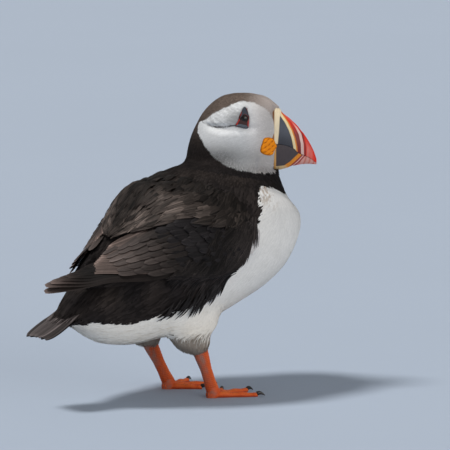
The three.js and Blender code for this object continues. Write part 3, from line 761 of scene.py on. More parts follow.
# ---------------------------------------------------------------- how feathers lie
def lie(p, n):
    """The way feathers point, over the whole body."""
    h = to_head(p)
    x, z, along = p[:, 0], p[:, 2], h[:, 0]
    off, _ = from_leg(p)
    way = mix(np.array([-0.80, 0, -0.50]) + 0 * p, np.array([-0.9, 0, -0.28]),
              smooth(70, 45, z))
    # feathers of the sides sweep steeply down over the wing's front and the flank
    sweep = smooth(24, 4, x) * smooth(-66, -40, x) * smooth(46, 60, z) * smooth(118, 100, z)
    way = paint(way, (np.array([-0.58, 0, -0.80]), sweep),
                (unit(p - [2, 0, 158]), smooth(4, 18, x) * smooth(60, 90, z)),
                (np.array([0.15, 0, -1.0]), smooth(19, 13, off) * smooth(47, 39, z)),
                (np.array([-0.35, 0, -1.0]), smooth(118, 132, z) * smooth(20, -5, x)))
    back = -FORWARD + UP * (0.45 * smooth(4, 26, along) - 0.30
                            - 0.75 * smooth(14, -18, along))[:, None]
    gap, course = line_distance(h[:, [0, 2]], CREASE)
    fold = on_head(-1, 0, np.interp(course, [0, 0.35, 0.6, 1.0], [-0.15, -0.05, 0.35, 0.5]))
    back = paint(back, (fold - HEAD_ORIGIN, smooth(4.0, 0.8, gap) * smooth(-18, -12, along)),
                 (-FORWARD - 0.1 * UP, smooth(176, 186, z)))
    return along_skin(mix(way, back, smooth(146, 158, z)), n)


def turned(way, n, angle):
    """Directions turned about the surface normal."""
    c, s = np.cos(angle)[:, None], np.sin(angle)[:, None]
    return way * c + np.cross(n, way) * s


def trace(p, n, length, steps, heading, last=False):
    """Centre lines that follow the skin: places, normals and directions, row by row. The last
    row keeps the direction before it, unless last asks for its own."""
    rows = []
    for k in range(steps + 1):
        if k < steps or last:
            way = heading(p, n)
        rows.append((p, n, way))
        if k < steps:
            p, n = closest(p + way * (length / steps)[:, None])
    return [np.stack(v, 1) for v in zip(*rows)]


def scatter(region, spacing, seed):
    """Evenly strewn roots where region(p) is true."""
    r = np.random.default_rng(seed)
    keep = region(skin_mids)
    quads = skin_p[skin_f[keep]]
    gap = at(spacing, skin_mids[keep])
    area = 0.5 * np.linalg.norm(np.cross(quads[:, 2] - quads[:, 0], quads[:, 3] - quads[:, 1]),
                                axis=1)
    rows = np.repeat(np.arange(len(quads)), r.poisson(area / (0.85 * gap ** 2) * 3.2))
    a, b = r.random((2, len(rows), 1))
    q, gap = quads[rows], gap[rows]
    p = (q[:, 0] * (1 - a) + q[:, 1] * a) * (1 - b) + (q[:, 3] * (1 - a) + q[:, 2] * a) * b
    tree = tree_of(p)
    free, chosen = np.ones(len(p), bool), []
    for i in r.permutation(len(p)).tolist():
        if free[i]:
            chosen.append(i)
            free[[j for _, j, _ in tree.find_range(p[i].tolist(), gap[i])]] = False
    return p[chosen]


def strips(place, normal, way, width, profile, c, camber, rise, roll=0.0):
    """Points of feathers as cupped strips, c from -1 to 1 across each, raised by rise."""
    width = np.asarray(width, float)[:, None, None]
    half = 0.5 * width * profile[:, None]
    side = unit(np.cross(way, normal))
    up = camber * width * (1 - c ** 2) * profile[:, None] + roll * half * c + rise
    p = place[:, :, None] + side[:, :, None] * (half * c)[..., None]
    return p + normal[:, :, None] * up[..., None], half, side


# half width of a tuft at each row after its root, by the number of rows
LEAF = {2: [0.7, 1.0, 0.22], 3: [0.55, 1.0, 0.85, 0.22], 4: [0.5, 0.95, 1.0, 0.75, 0.16]}
TUFT_PATCH = 0.003                           # size of a tuft's patch in the UV map


def coat(name, region, spacing, length, width, lift, seed, *, rows=3, columns=4, ragged=0.8,
         soft=0.7, swing=0.16, slot="plumage_black", camber=0.10, sink=0.35, bias=0.0,
         spread=0.0):
    """A field of small feathers lying along the body."""
    r, jag = np.random.default_rng(seed), np.random.default_rng(seed + 3)
    root, n = closest(scatter(region, spacing, seed))
    count = len(root)
    long = at(length, root) * r.uniform(0.8, 1.2, count)
    wide = at(width, root) * r.uniform(0.85, 1.15, count)
    turn = swing * (0.6 * r.normal(size=count) + 0.9 * wobble(root, 17, seed + 1))
    line = trace(root, n, long, rows, lambda p, n: turned(lie(p, n), n, turn))
    lies_flat = dot(line[1][:, 0], line[1][:, -1])[:, 0] > 0.35
    root, wide, centre, normal, way = (v[lies_flat] for v in (root, wide, *line))
    count = len(root)
    rise = at(lift, root) * (1 + 0.3 * wobble(root, 11, seed + 2)) * r.uniform(0.75, 1.25, count)
    rise = np.maximum(rise, 0.12)[:, None]
    s, c = np.linspace(0, 1, rows + 1), np.linspace(-1, 1, columns + 1)
    heights = -sink + (rise + sink) * np.sin(np.minimum(s * 2.0, 1.15))
    p, _, side = strips(centre, normal, way, wide, np.array(LEAF[rows]), c, camber,
                        heights[..., None])
    # ragged ends
    step = np.linalg.norm(centre[:, -1] - centre[:, -2], axis=1)[:, None]
    teeth = jag.uniform(-1, 0.6, (count, len(c))) * ragged - 0.45 * np.abs(c) ** 2
    p[:, -1] += way[:, -1, None] * (np.maximum(teeth, -0.8) * step)[..., None]
    tooth = jag.uniform(-1, 1, (count, len(c))) * 0.12 * ragged * wide[:, None]
    p[:, -1] += side[:, -1, None] * tooth[..., None]
    p = p.reshape(-1, 3)
    faces = grid_faces(len(s), len(c), copies=count)
    seat = 0.35 * root + 0.65 * centre[:, -1]
    tint = markings(seat, bias + spread * r.normal(size=count), 0.1)
    calm = 1 - 0.9 * smooth(0.12, 0.40, tint[:, :1])
    tint = tint * (1 + calm * r.uniform(-0.40, 0.50, (count, 1)))
    along, across = np.repeat(s, len(c)), np.tile(c, len(s))
    tint = tint[:, None] * (1 + calm * (0.45 * along - 0.28))[..., None]
    even = np.repeat(normal, len(c), 1).reshape(-1, 3)
    lump = normals_of(p, faces)
    lump *= np.where(dot(lump, even) < 0, -1, 1)
    patch = np.stack([across * 0.5, along - 0.5], -1) * TUFT_PATCH
    uv = np.clip(unwrap(root, root)[:, None] + patch, 0.0005, 0.9995).reshape(-1, 2)
    piece(name, p, faces, SOFT, slot, tint, uv=uv[faces.ravel()],
          normals=unit(soft * even + (1 - soft) * lump))


def is_pale(p):
    return paleness(p) > 0


def head_only(p):
    h = to_head(p)
    flat = h[:, [0, 2]]
    clear = (edge_distance(flat, EYE_PATCH) < -0.3) & (edge_distance(flat, ROSETTE) < -0.4)
    gap, course = line_distance(flat, CREASE)
    clear &= (gap > 0.45) | (course > 0.75)
    front = (h[:, 0] < feathers_end(h) - 0.3) | (h[:, 2] < 141)
    return front & (clear | (np.abs(h[:, 1]) < 6)) & (p[:, 2] > 150)


def neck_only(p):
    h = to_head(p)
    front = (h[:, 0] < FEATHERS_END - 0.2) | (h[:, 2] < 141)
    dip = (p[:, 0] > 8) & (p[:, 2] > 110) & ~is_pale(p)
    return (p[:, 2] <= 150.5) & ((below_collar(p) < 1.0) | dip) & front


def dark_body(p, flank):
    """Dark feathers of the wing's front and the flank, or else of the back and rump."""
    off, t, f = on_wing(p)
    bare = (off < 3.5) & (t > 3.5) & ((f > 0.03) if flank else (f < 0.93))
    side = (off < 4.5) & (f < 0.55) | (p[:, 2] < 84)
    return ((below_collar(p) >= 1.0) & ~is_pale(p) & ~bare & (side == flank)
            & (p[:, 0] <= 8))


def white_body(p, side, fore):
    """White feathers of one side of the breast, or of the belly behind it."""
    return ((below_collar(p) >= 1.0) & is_pale(p) & ((p[:, 0] > -30) == fore)
            & (p[:, 1] * side >= 0))


def near_disc(p):
    """Short close to the rim of the white face, longer away from it."""
    return smooth(0.3, 4.0, np.abs(edge_distance(to_head(p)[:, [0, 2]], CHEEK)))


coat("coat_head", head_only, 0.62, lambda p: 1.5 + 1.2 * near_disc(p), 0.62, 0.12, 11, rows=2,
     columns=2, ragged=0.2, soft=0.88, sink=0.25, swing=0.10, spread=0.25,
     slot="plumage_white")
coat("coat_neck", neck_only, lambda p: 0.78 + 0.35 * smooth(152, 136, p[:, 2]),
     lambda p: (2.8 + 2.6 * smooth(150, 134, p[:, 2])) * (0.55 + 0.45 * near_disc(p))
     * (1 - 0.45 * smooth(-5, 0, below_collar(p)) * smooth(-10, 5, p[:, 0])),
     lambda p: 0.8 + 0.5 * smooth(152, 136, p[:, 2]),
     lambda p: 0.2 + 0.25 * smooth(150, 134, p[:, 2]), 21, soft=0.8, columns=3, ragged=0.4)
coat("coat_back", lambda p: dark_body(p, False), 1.5, 9.0, 2.2, 0.5, 31, soft=0.65, ragged=0.9,
     camber=0.12, bias=-2.0)
coat("coat_side", lambda p: dark_body(p, True), 1.35,
     lambda p: 5 + 7.5 * smooth(-1, -9, paleness(p)), 1.7, 0.6, 41, rows=4, soft=0.6,
     ragged=0.9, columns=3, bias=-2.0)
for turn, (side, tag) in enumerate(SIDES):
    coat("coat_breast_" + tag, lambda p: white_body(p, side, True), 0.95,
         lambda p: 4.0 + 3.5 * smooth(2, 14, below_collar(p)), 1.1,
         lambda p: 0.14 + 0.5 * smooth(6, 1, edge_distance(p[:, [0, 2]], PALE_SIDE)), 51 + turn,
         soft=0.96, ragged=0.3, columns=2, slot="plumage_white", camber=0.03, sink=0.2,
         swing=0.14, bias=2.0)
for turn, (side, tag) in enumerate(SIDES):
    coat("coat_belly_" + tag, lambda p: white_body(p, side, False),
         lambda p: 0.85 + 0.2 * smooth(34, 44, p[:, 2]),
         lambda p: 6.5 + 4.5 * smooth(34, 48, p[:, 2]) + 3 * near_leg(p),
         lambda p: 0.95 + 0.3 * smooth(34, 44, p[:, 2]) - 0.25 * near_leg(p),
         lambda p: 0.2 + 0.35 * smooth(56, 44, p[:, 2])
         + near_leg(p) * (0.6 + 1.2 * smooth(40, 34, p[:, 2])), 61 + turn,
         soft=0.94, ragged=0.4, columns=2, slot="plumage_white", camber=0.03, sink=0.25,
         swing=0.18, bias=2.0, spread=1.4)


# ---------------------------------------------------------------- vaned feathers
GIRTH_AT = np.linspace(0, 8, 81)
GIRTH = [np.linalg.norm(np.diff(shell(1, t, np.linspace(0, 1, 40)), axis=0), axis=1).sum()
         for t in GIRTH_AT]
BLADE = np.array([-1, -0.8, -0.5, -0.22, -0.05, 0.05, 0.22, 0.5, 0.8, 1])
ON_SHAFT = np.abs(BLADE) < 0.1
# where the base starts and is at full width, where the tip starts, its reach and roundness
VANE_SHAPE = {"flight": (-0.25, 0.3, 0.6, 0.41, 0.4), "covert": (-0.5, 0.35, 0.62, 0.385, 0.5),
              "loose": (-0.6, 0.4, 0.5, 0.52, 1.0)}


def girth(t):
    """Millimetres over the folded wing from its lower to its upper edge."""
    return np.interp(t, GIRTH_AT, GIRTH)


def blades(name, place, normal, way, width, kind, tint, seed, *nodes, camber=0.05, roll=0.0,
           streak=0.1, edge=1.0, tip=1.0, shaft=1.0, ragged=0.0, base=0.75, fade=1.0,
           slot="flight_feather"):
    """Vaned feathers, each with a shaft, laid on given centre lines."""
    r = np.random.default_rng(seed)
    count, rows, _ = place.shape
    s, c = np.linspace(0, 1, rows), BLADE
    start, full, turn, reach, power = VANE_SHAPE[kind]
    rounded = np.clip(1 - ((s - turn) / reach) ** 2, 0, 1) ** power
    profile = np.minimum(smooth(start, full, s), np.where(s > turn, rounded, 1))
    width = np.broadcast_to(np.asarray(width, float), count)
    p, half, _ = strips(place, normal, way, width, profile, c, camber, 0.12 * ON_SHAFT, roll)
    if ragged:
        pull = r.uniform(-1, 0.5, (count, 1, len(c))) * ragged * smooth(0.6, 1, s)[:, None]
        p = p + way[:, :, None] * pull[..., None]
    lines = 1 + streak * r.normal(size=(count, 1, len(c), 1))
    colour = tint[:, None, None] * lines * r.uniform(0.88, 1.12, (count, 1, 1, 1))
    rim = np.maximum(smooth(0.7, 1.0, np.abs(c)), smooth(0.88, 1.0, s)[:, None])
    tone = (base + (1 - base) * s ** fade) * (1 + (tip - 1) * smooth(0.7, 1.0, s))
    tone = tone[:, None] * (1 + (edge - 1) * rim) * np.where(ON_SHAFT, shaft, 1)
    cells = int(np.ceil(np.sqrt(count)))
    spot = np.stack([np.arange(count) % cells, np.arange(count) // cells], -1)[:, None, None]
    inside = np.stack(np.meshgrid(s, (c + 1) / 2, indexing="ij"), -1)[..., ::-1]
    uv = ((spot + 0.08 + 0.84 * inside) / cells).reshape(-1, 2)
    length = np.linalg.norm(np.diff(place, axis=1), axis=2).sum(1)
    along = length[:, None, None] * s[:, None] + 0 * c
    faces = grid_faces(rows, len(c), copies=count)
    piece(name, p.reshape(-1, 3), faces, VANE, slot, np.clip(colour * tone[..., None], 0, 0.9),
          *nodes, uv=uv[faces.ravel()],
          values={"along": along.ravel(), "across": (half * c).ravel()})


def spines(side, start, end, sag, h0, h1, rows, in_mm=True, ease=1.0):
    """Centre lines on the folded wing between places given as station and millimetres, or
    share of the wing's height, from its lower edge."""
    s = np.linspace(0, 1, rows)
    (t0, up0), (t1, up1) = (np.moveaxis(np.asarray(v, float)[:, None], -1, 0)
                            for v in (start, end))
    t = t0 + (t1 - t0) * s
    up = up0 + (up1 - up0) * s + np.asarray(sag)[..., None] * 4 * s * (1 - s)
    f = up / girth(t) if in_mm else up
    left = (1 - s) ** ease
    h = np.asarray(h0)[..., None] * left + np.asarray(h1)[..., None] * (1 - left)
    place = shell(side, t, f, h)
    return place, shell_normal(side, t, f), unit(np.gradient(place, axis=1))


def tiles(r, rows, tip, step, top, first, stagger, gap, jitter):
    """Feathers in rows like roof tiles: station and height of each tip, its row, its jitter."""
    spots = []
    for row in range(rows):
        station = tip - step * row
        for k in np.arange(first + row % 2 * stagger, top(row) * girth(station), gap):
            spots.append([station, k, row, *r.normal(size=2) * jitter])
    return np.array(spots).T


def flight_feathers(side, tag, r):
    """Primaries, the outermost lowest and longest, and secondaries over them."""
    i = np.arange(8)
    tips = (8.0 if side < 0 else 7.0) - 0.25 * np.maximum(i - 0.75, 0)
    start = np.stack([4.0 + 0.08 * i, 5.8 + 2.1 * i], -1)
    end = np.stack([tips, (0.46 + 0.045 * i) * girth(tips)], -1)
    place, n, way = spines(side, start, end, 0.4, -1.6, -0.25, 26)
    lifted = np.array([0.8, 4.2, 4.8, 4.6, 4.0, 3.0, 2.0, 1.0])[:, None]
    place[..., 2] += lifted * smooth(0.55, 1.0, np.linspace(0, 1, 26))
    way = unit(np.gradient(place, axis=1))
    # the upper primaries darker and every primary dark at its base (base, fade below): painted
    # shadow cast across the folded primaries by the tertials above them
    tint = np.array([0.092, 0.069, 0.062]) * r.uniform(0.85, 1.15, (8, 1))
    tint *= np.where(i < 3, 1, np.where(i < 5, 0.5, 0.25))[:, None]
    blades("primaries_" + tag, place, n, way, 8.6 - 0.1 * i, "flight", tint, 71,
           roll=0.13 * side, streak=0.12, edge=1.25, tip=1.5, shaft=0.6, base=0.14, fade=10)
    i = np.arange(15)
    tips = (6.4 if side < 0 else 6.0) - 0.085 * i
    start = np.stack([3.75 + 0.02 * i, 11 + 2.3 * i], -1)
    end = np.stack([tips, (0.64 + 0.0215 * i) * girth(tips)], -1)
    tint = np.array([0.062, 0.045, 0.039]) * r.uniform(0.75, 1.2, (15, 1))
    blades("secondaries_" + tag, *spines(side, start, end, -1.0, -1.4, 0.05, 24), 8.6,
           "flight", tint, 73, roll=0.15 * side, streak=0.16, edge=2.1, shaft=1.9, base=0.7,
           tip=1.35, ragged=0.7)


def coverts(side, tag, r):
    """Rows of greater coverts like oblong scales, and small dark ones in front of them."""
    tip, k, row, jt, jk = tiles(r, 5, 5.62, 0.36, lambda row: 0.84 - 0.05 * row, 5.2, 2.0, 4.0,
                                [0.05, 0.35])
    start = np.stack([tip - 1.0 + jt, (k + 2.6) * girth(tip - 1.0) / girth(tip) * 0.93], -1)
    end = np.stack([tip + jt, k + jk], -1)
    # the greater coverts darker toward the wing's lower edge: painted shade, the upper ones
    # painted as lit
    tone = (0.35 + 0.65 * np.minimum(1.0, k / 18)) * (1.55 - 0.30 * row)
    tone = tone[:, None] * r.uniform(0.8, 1.2, (len(tone), 1))
    blades("greater_coverts_" + tag, *spines(side, start, end, 0.0, -1.5, 0.95, 14), 5.6,
           "covert", np.array([0.070, 0.055, 0.050]) * tone, 79, roll=0.22 * side, streak=0.14,
           edge=1.35, base=0.30, camber=0.09, ragged=0.3)
    tip, k, row, jt, jk = tiles(r, 7, 3.95, 0.30, lambda row: 0.66 - 0.09 * max(row - 2, 0),
                                12, 2.2, 4.4, [0.06, 0.5])
    start = np.stack([tip - 0.62 + jt, k + 1.5 + jk], -1)
    end = np.stack([tip + jt, k + jk], -1)
    tint = np.array([0.0125, 0.0108, 0.0115]) * r.uniform(0.65, 1.4, (len(tip), 1))
    blades("small_coverts_" + tag, *spines(side, start, end, 0.0, -1.6, 0.8, 10), 6.4,
           "covert", tint, 83, roll=0.14 * side, streak=0.14, edge=1.5, camber=0.10, ragged=1.0)


def scapular_edge(t):
    """Share of the wing's height at which the scapulars end below."""
    return np.interp(t, [0.4, 1.2, 2.2, 3.0, 3.8, 4.5, 4.9],
                     [0.62, 0.47, 0.47, 0.60, 0.67, 0.80, 0.98])


def top_share(t):
    """Share of the wing's height at which its surface meets the back's middle line."""
    low, top = between(WING, t)[..., 4:6].T
    return (90 - low) / (top - low)


def scapulars(side, tag, r):
    """Long loose feathers over the wing's upper edge and the back between the wings."""
    count = 330
    t = r.uniform(0.2, 4.35, count)
    low = scapular_edge(t + 0.55)
    top = 1.0 + (top_share(t) + 0.04 - 1.0) * smooth(1.0, 2.2, t + 0.5)
    f = low + 0.02 + (top - low) * r.random(count) ** 0.85
    order = np.argsort(-t - 0.5 * f)
    t, f = t[order], f[order]
    tip_t = np.minimum(t + r.uniform(0.75, 1.15, count), 4.95 - 0.1 * r.random(count))
    high = (f - scapular_edge(t)) / (top_share(t) - scapular_edge(t))
    edge = scapular_edge(tip_t)
    tip_f = edge + (top_share(tip_t) - edge) * np.clip(high - 0.06, 0, 1) ** 1.05
    tip_f = np.where(t < 1.2, np.minimum(tip_f, f + 0.10), tip_f)
    tip_f = np.where(high < 0.12, edge - 0.02, tip_f)
    # the feathers stand higher over the valley between the wings
    valley = 0.9 * smooth(0.95, 1.12, f) * smooth(1.6, 2.6, t)
    lift = (0.35 + 0.75 * r.random(count)) * smooth(0.0, 1.4, t) + valley
    root_lift = -1.2 - 2.0 * smooth(1.6, 0.6, t) + valley * smooth(1.0, 2.0, t)
    place, n, _ = spines(side, np.stack([t, f], -1), np.stack([tip_t, tip_f], -1),
                         r.normal(size=count) * 0.02, root_lift, lift, 12, False, 1.5)
    # a painted sunlit band across the middle scapulars, with painted shade toward their lower
    # edge
    light = smooth(1.2, 2.2, t) * smooth(4.9, 3.6, t) * smooth(1.25, 0.9, f)
    patch = 0.5 + 0.5 * wobble(place[:, 6], 16, 90)
    by_neck = smooth(2.6, 1.3, t) * smooth(0.55, 0.8, f)
    tone = 0.24 + (0.35 + 0.65 * patch) * light * smooth(-0.05, 0.35, high)
    tone = tone * (1 - 0.3 * by_neck)
    tint = np.array([0.088, 0.069, 0.060]) * tone[:, None] * r.uniform(0.45, 1.6, (count, 1))
    # near the neck they lie on the skin, and every root is sunk into it
    skin_at, skin_up = (v.reshape(place.shape) for v in closest(place.reshape(-1, 3)))
    s, by_neck = np.linspace(0, 1, 12)[:, None], by_neck[:, None, None]
    place = place + (skin_at + (0.5 + 0.7 * s) * skin_up - place) * by_neck
    sunk = 1 - smooth(0.0, 0.45, s)
    place = place + (skin_at - 0.5 * skin_up - place) * sunk
    n = unit(n + (skin_up - n) * np.maximum(sunk, np.maximum(0.3, by_neck)))
    blades("scapulars_" + tag, place, n, unit(np.gradient(place, axis=1)),
           r.uniform(4.6, 7.2, count), "loose", tint, 89, roll=0.08 * side, streak=0.34,
           edge=1.25, ragged=2.6, camber=0.08, base=0.55)


def side_plumes(side, tag, r):
    """Long hair-like feathers that sweep down over the wing's front and drape to the flank."""
    t = r.uniform(0.3, 3.9, 1500)
    f = r.random(1500) ** 1.2 * 0.46
    f = np.where((t > 2.6) & (f > 0.22), f * 0.4, f)
    p = shell(side, t, f, 0.6)
    inside = np.flatnonzero(paleness(p) < -1.0 - 2.5 * smooth(90, 104, p[:, 2]))
    order = inside[np.argsort(p[inside, 2])]
    t, f, p = t[order], f[order], p[order]
    n = shell_normal(side, t, f)
    count, rows = len(p), 11
    length = r.uniform(14, 22, count) + 6 * smooth(0.30, 0.05, f) * smooth(3.6, 2.6, t)
    step = (length / (rows - 1))[:, None]
    swing = 0.16 * r.normal(size=count) + 0.20 * wobble(p, 20, 92)
    aim = np.array([-0.50, 0, -0.87]) + 0 * p
    aim[:, 0] -= 0.15 * smooth(-45, -70, p[:, 0])
    places, normals, here = [], [], p
    for k in range(rows):
        _, tt, ff = on_wing(here)
        near = smooth(-0.02, 0.03, ff)[:, None]
        skin_at, skin_up = closest(here)
        up = unit(skin_up * (1 - 0.4 * near) + n * 0.4 * near)
        if k:
            up = unit(up + 0.8 * normals[-1])
        base = skin_at + up * (0.7 + 1.1 * np.sin(min(2.4 * k / (rows - 1), 1.7)))
        above = dot(shell(side, tt, ff, 0.7) - base, up) * near * smooth(0.9, 1.7, tt)[:, None]
        falling = dot(here - base, up) - 0.32 * step
        place = base + up * np.clip(np.maximum(np.clip(above, 0, 3.5), falling), 0, 5)
        places.append(place)
        normals.append(up)
        here = place + turned(along_skin(aim, up), up, swing) * step
    place, up = np.stack(places, 1), np.stack(normals, 1)
    for _ in range(4):
        place[:, 1:-1] = 0.5 * place[:, 1:-1] + 0.25 * (place[:, :-2] + place[:, 2:])
        up[:, 1:-1] = unit(0.5 * up[:, 1:-1] + 0.25 * (up[:, :-2] + up[:, 2:]))
    way = unit(np.gradient(place, axis=1))
    even = (dot(way[:, 1:], way[:, :-1])[..., 0].min(1) > 0.75) & (way[:, -1, 2] < 0.1)
    p, place, up, way = p[even], place[even], up[even], way[even]
    # painted brown sheen on the plumes over the wing's front
    front_sheen = smooth(-34, -12, p[:, 0]) * smooth(62, 92, p[:, 2])
    tone = 0.30 + 0.45 * (0.5 + 0.5 * wobble(p, 18, 93)) + 0.75 * front_sheen
    tone = tone * (1 + 0.5 * smooth(92, 76, p[:, 2]))
    tint = np.array([0.0290, 0.0235, 0.0220]) * tone[:, None] * r.uniform(0.5, 1.6, (len(p), 1))
    blades("side_plumes_" + tag, place, up, way, r.uniform(1.1, 2.4, len(p)), "loose", tint, 94,
           streak=0.30, edge=1.1, ragged=1.6, camber=0.10, base=0.7)


def strands(name, side, seed, count, where, above, length, width, lift, tint, slot, even,
            streak):
    """Long loose strands along the edge between dark and white plumage."""
    r = np.random.default_rng(seed)
    x, z = between(WHITE_EDGE, r.uniform(*where, count)).T
    up = r.uniform(*above, count)
    outside = np.stack([x - 0.35 * up, np.full(count, side * 60.0), z + up], -1)
    hit = [skin_tree.ray_cast(q, (0, -side, 0))[0] or Vector(q) for q in outside.tolist()]
    p, n = closest(np.array(hit))
    long = r.uniform(*length, count)
    swing = (0.16 * r.normal(size=count) + 0.20 * wobble(p, 18, 95)) * side
    aim = np.array([-0.52, 0, -0.85]) + 0 * p
    aim[:, 0] -= 0.30 * smooth(-45, -75, p[:, 0])
    steps = 9
    place, n, way = trace(p, n, long, steps, lambda _, n: turned(along_skin(aim, n), n, swing),
                          last=True)
    rise = lift * (0.45 + 0.55 * np.sin(np.minimum(2.2 * np.arange(steps + 1) / steps, 1.8)))
    colour = np.array(tint) * r.uniform(0.6, 1.4, (count, 1)) ** even
    blades(name, place + n * rise[:, None], n, way, r.uniform(*width, count), "loose", colour,
           96, streak=streak, ragged=1.2, camber=0.1, base=0.8, slot=slot)


for (side, tag), seed in zip(SIDES, (7, 8)):
    r = np.random.default_rng(seed)
    for feathers in (flight_feathers, coverts, scapulars, side_plumes):
        feathers(side, tag, r)
for side, tag in SIDES:
    strands("wisps_" + tag, side, 17, 80, (5.2, 9.0), (0, 8), (7, 15), (0.8, 1.7), 2.6,
            (0.022, 0.019, 0.019), "plumage_black", 1, 0.2)
    strands("pale_wisps_" + tag, side, 19, 190, (6.5, 11.2), (-3, 0.8), (4.5, 8.5), (0.6, 1.3),
            1.0, (0.74, 0.71, 0.70), "plumage_white", 0.2, 0.03)


# ---------------------------------------------------------------- tail
def tail_feathers(r, name, level, tint, first, last, width, count, kind, ragged, *nodes):
    """A fan of feathers, the outermost laid first, over or under the tail's middle layer."""
    across = np.linspace(-0.82, 0.82, count)
    across = across[np.argsort(-np.abs(across))][:, None]
    s = np.linspace(0, 1, 18)
    end = last - 0.55 * np.abs(across) ** 2 + r.normal(size=(count, 1)) * 0.06
    t = first + (end - first) * s
    x, z, half, _, droop = np.moveaxis(between(TAIL, np.maximum(t, 0)), -1, 0)
    ahead = np.maximum(-t, 0)
    out = across * (0.55 + 0.45 * s)
    h = level * (1 - 0.55 * s) + 0.35 * (1 - np.abs(across))
    place = np.stack([x + ahead * 9, half * out, z - droop * out ** 2 + h + ahead * 4], -1)
    way = unit(np.gradient(place, axis=1))
    n = unit(np.cross(way, np.array([0, 1.0, 0])))
    n = n * np.sign(n[..., 2:]) * np.sign(level)
    colour = np.array([1.0, 0.84, 0.82]) * tint * r.uniform(0.55, 1.6, (count, 1))
    blades(name, place, n, way, width, kind, colour, 97, *nodes, streak=0.22, edge=1.7,
           base=0.6, camber=0.06, ragged=ragged)


r = np.random.default_rng(9)
tail_feathers(r, "tail_upper", 0.9, 0.055, -0.4, 4.1, 7.5, 9, "flight", 0.6, "tail")
tail_feathers(r, "tail_lower", -0.6, 0.020, -0.4, 4.0, 7.5, 8, "flight", 0.6)
tail_feathers(r, "tail_coverts", 2.9, 0.075, -0.9, 2.4, 5.0, 14, "loose", 2.2)


# ---------------------------------------------------------------- the face
def face_point(side, flat):
    """On the head's surface at (along, height)."""
    along, z = flat[..., 0], flat[..., 1]
    up, *rest = stations(NECK, 200)[:5, :, 0]
    nape, front, half, taper = (np.interp(z, up, v) for v in rest)
    c = np.clip((along - (nape + front) / 2) / ((front - nape) / 2 - HEAD_COAT), -1, 1)
    out = (half - HEAD_COAT) * np.sqrt(1 - c * c) * (1 - taper * (0.5 + 0.5 * c) ** 1.6)
    return on_head(along, side * out, z)


def on_face(side, flat, lift):
    """The same, raised by lift along the surface's normal."""
    along, rise = (face_point(side, flat + d) - face_point(side, flat - d)
                   for d in (np.array([0.4, 0]), np.array([0, 0.4])))
    n = unit(np.cross(along, rise))
    n = n * np.where(dot(n, LEFT * side) < 0, -1, 1)
    return face_point(side, flat) + n * lift[..., None]


def plate(name, side, points, base, dome, colour_of, material, slot, *nodes, rings=14,
          count=110, wrinkle=None):
    """A domed pad on the face, filling an outline, with its edge let into the feathers."""
    pts = np.asarray(points, float)
    line = between(np.concatenate([pts[-1:], pts, pts[:2]]),
                   np.linspace(1, len(pts) + 1, count, endpoint=False))
    rho = np.concatenate([np.linspace(0.001, 1, rings), [1.03, 1.05]])[:, None]
    flat = pts.mean(0) + (line - pts.mean(0)) * rho[..., None]
    shape = np.sqrt(np.clip(1 - np.clip(rho, 0, 1) ** 4, 0, 1)) + 0 * flat[..., 0]
    lift = base + (dome + (wrinkle(flat) if wrinkle else 0)) * shape
    lift[-2:] -= [[0.35], [1.6]]
    faces = grid_faces(len(rho), count, closed=True)
    piece(name, on_face(side, flat, lift).reshape(-1, 3), faces[:, ::-1] if side > 0 else faces,
          material, slot, colour_of(flat, rho), *nodes)


def even(colour, rim):
    """A colour that darkens toward the pad's edge."""
    return lambda flat, rho: np.array(colour) * (
        1 - (1 - rim) * smooth(0.75, 1.02, rho + 0 * flat[..., 0]))[..., None]


def rimmed(flat, rho):
    """The skin round the eye, with a red edge."""
    rim = smooth(0.70, 0.86, rho) * smooth(1.04, 0.97, rho) + 0 * flat[..., 0]
    return mix(np.array([0.040, 0.010, 0.010]), np.array([0.45, 0.022, 0.016]), rim)


def creases(flat):
    """Wrinkles of the gape rosette, 0 in a fold to 1 on a ridge."""
    x, z = flat[..., 0] - 27.8, flat[..., 1] - 156.9
    across, run = -x * 0.62 + z * 0.78, x * 0.78 + z * 0.62
    wave = across + 0.16 * np.sin(run * 1.7 + 0.8) - 0.020 * run ** 2
    notch = 0.5 + 0.5 * np.cos(TAU * (run + 0.4 * across) / 2.9)
    return np.clip(0.5 + 0.5 * np.cos(TAU * wave / 2.5) + 0.18 * notch, 0, 1)


def gold(flat, rho):
    # the folds painted a darker orange: painted shade in the creases
    colour = mix(np.array([0.46, 0.11, 0.004]), np.array([0.90, 0.275, 0.006]),
                 smooth(0.0, 0.3, creases(flat)))
    return colour * (1 - 0.35 * smooth(0.85, 1.03, rho))[..., None]


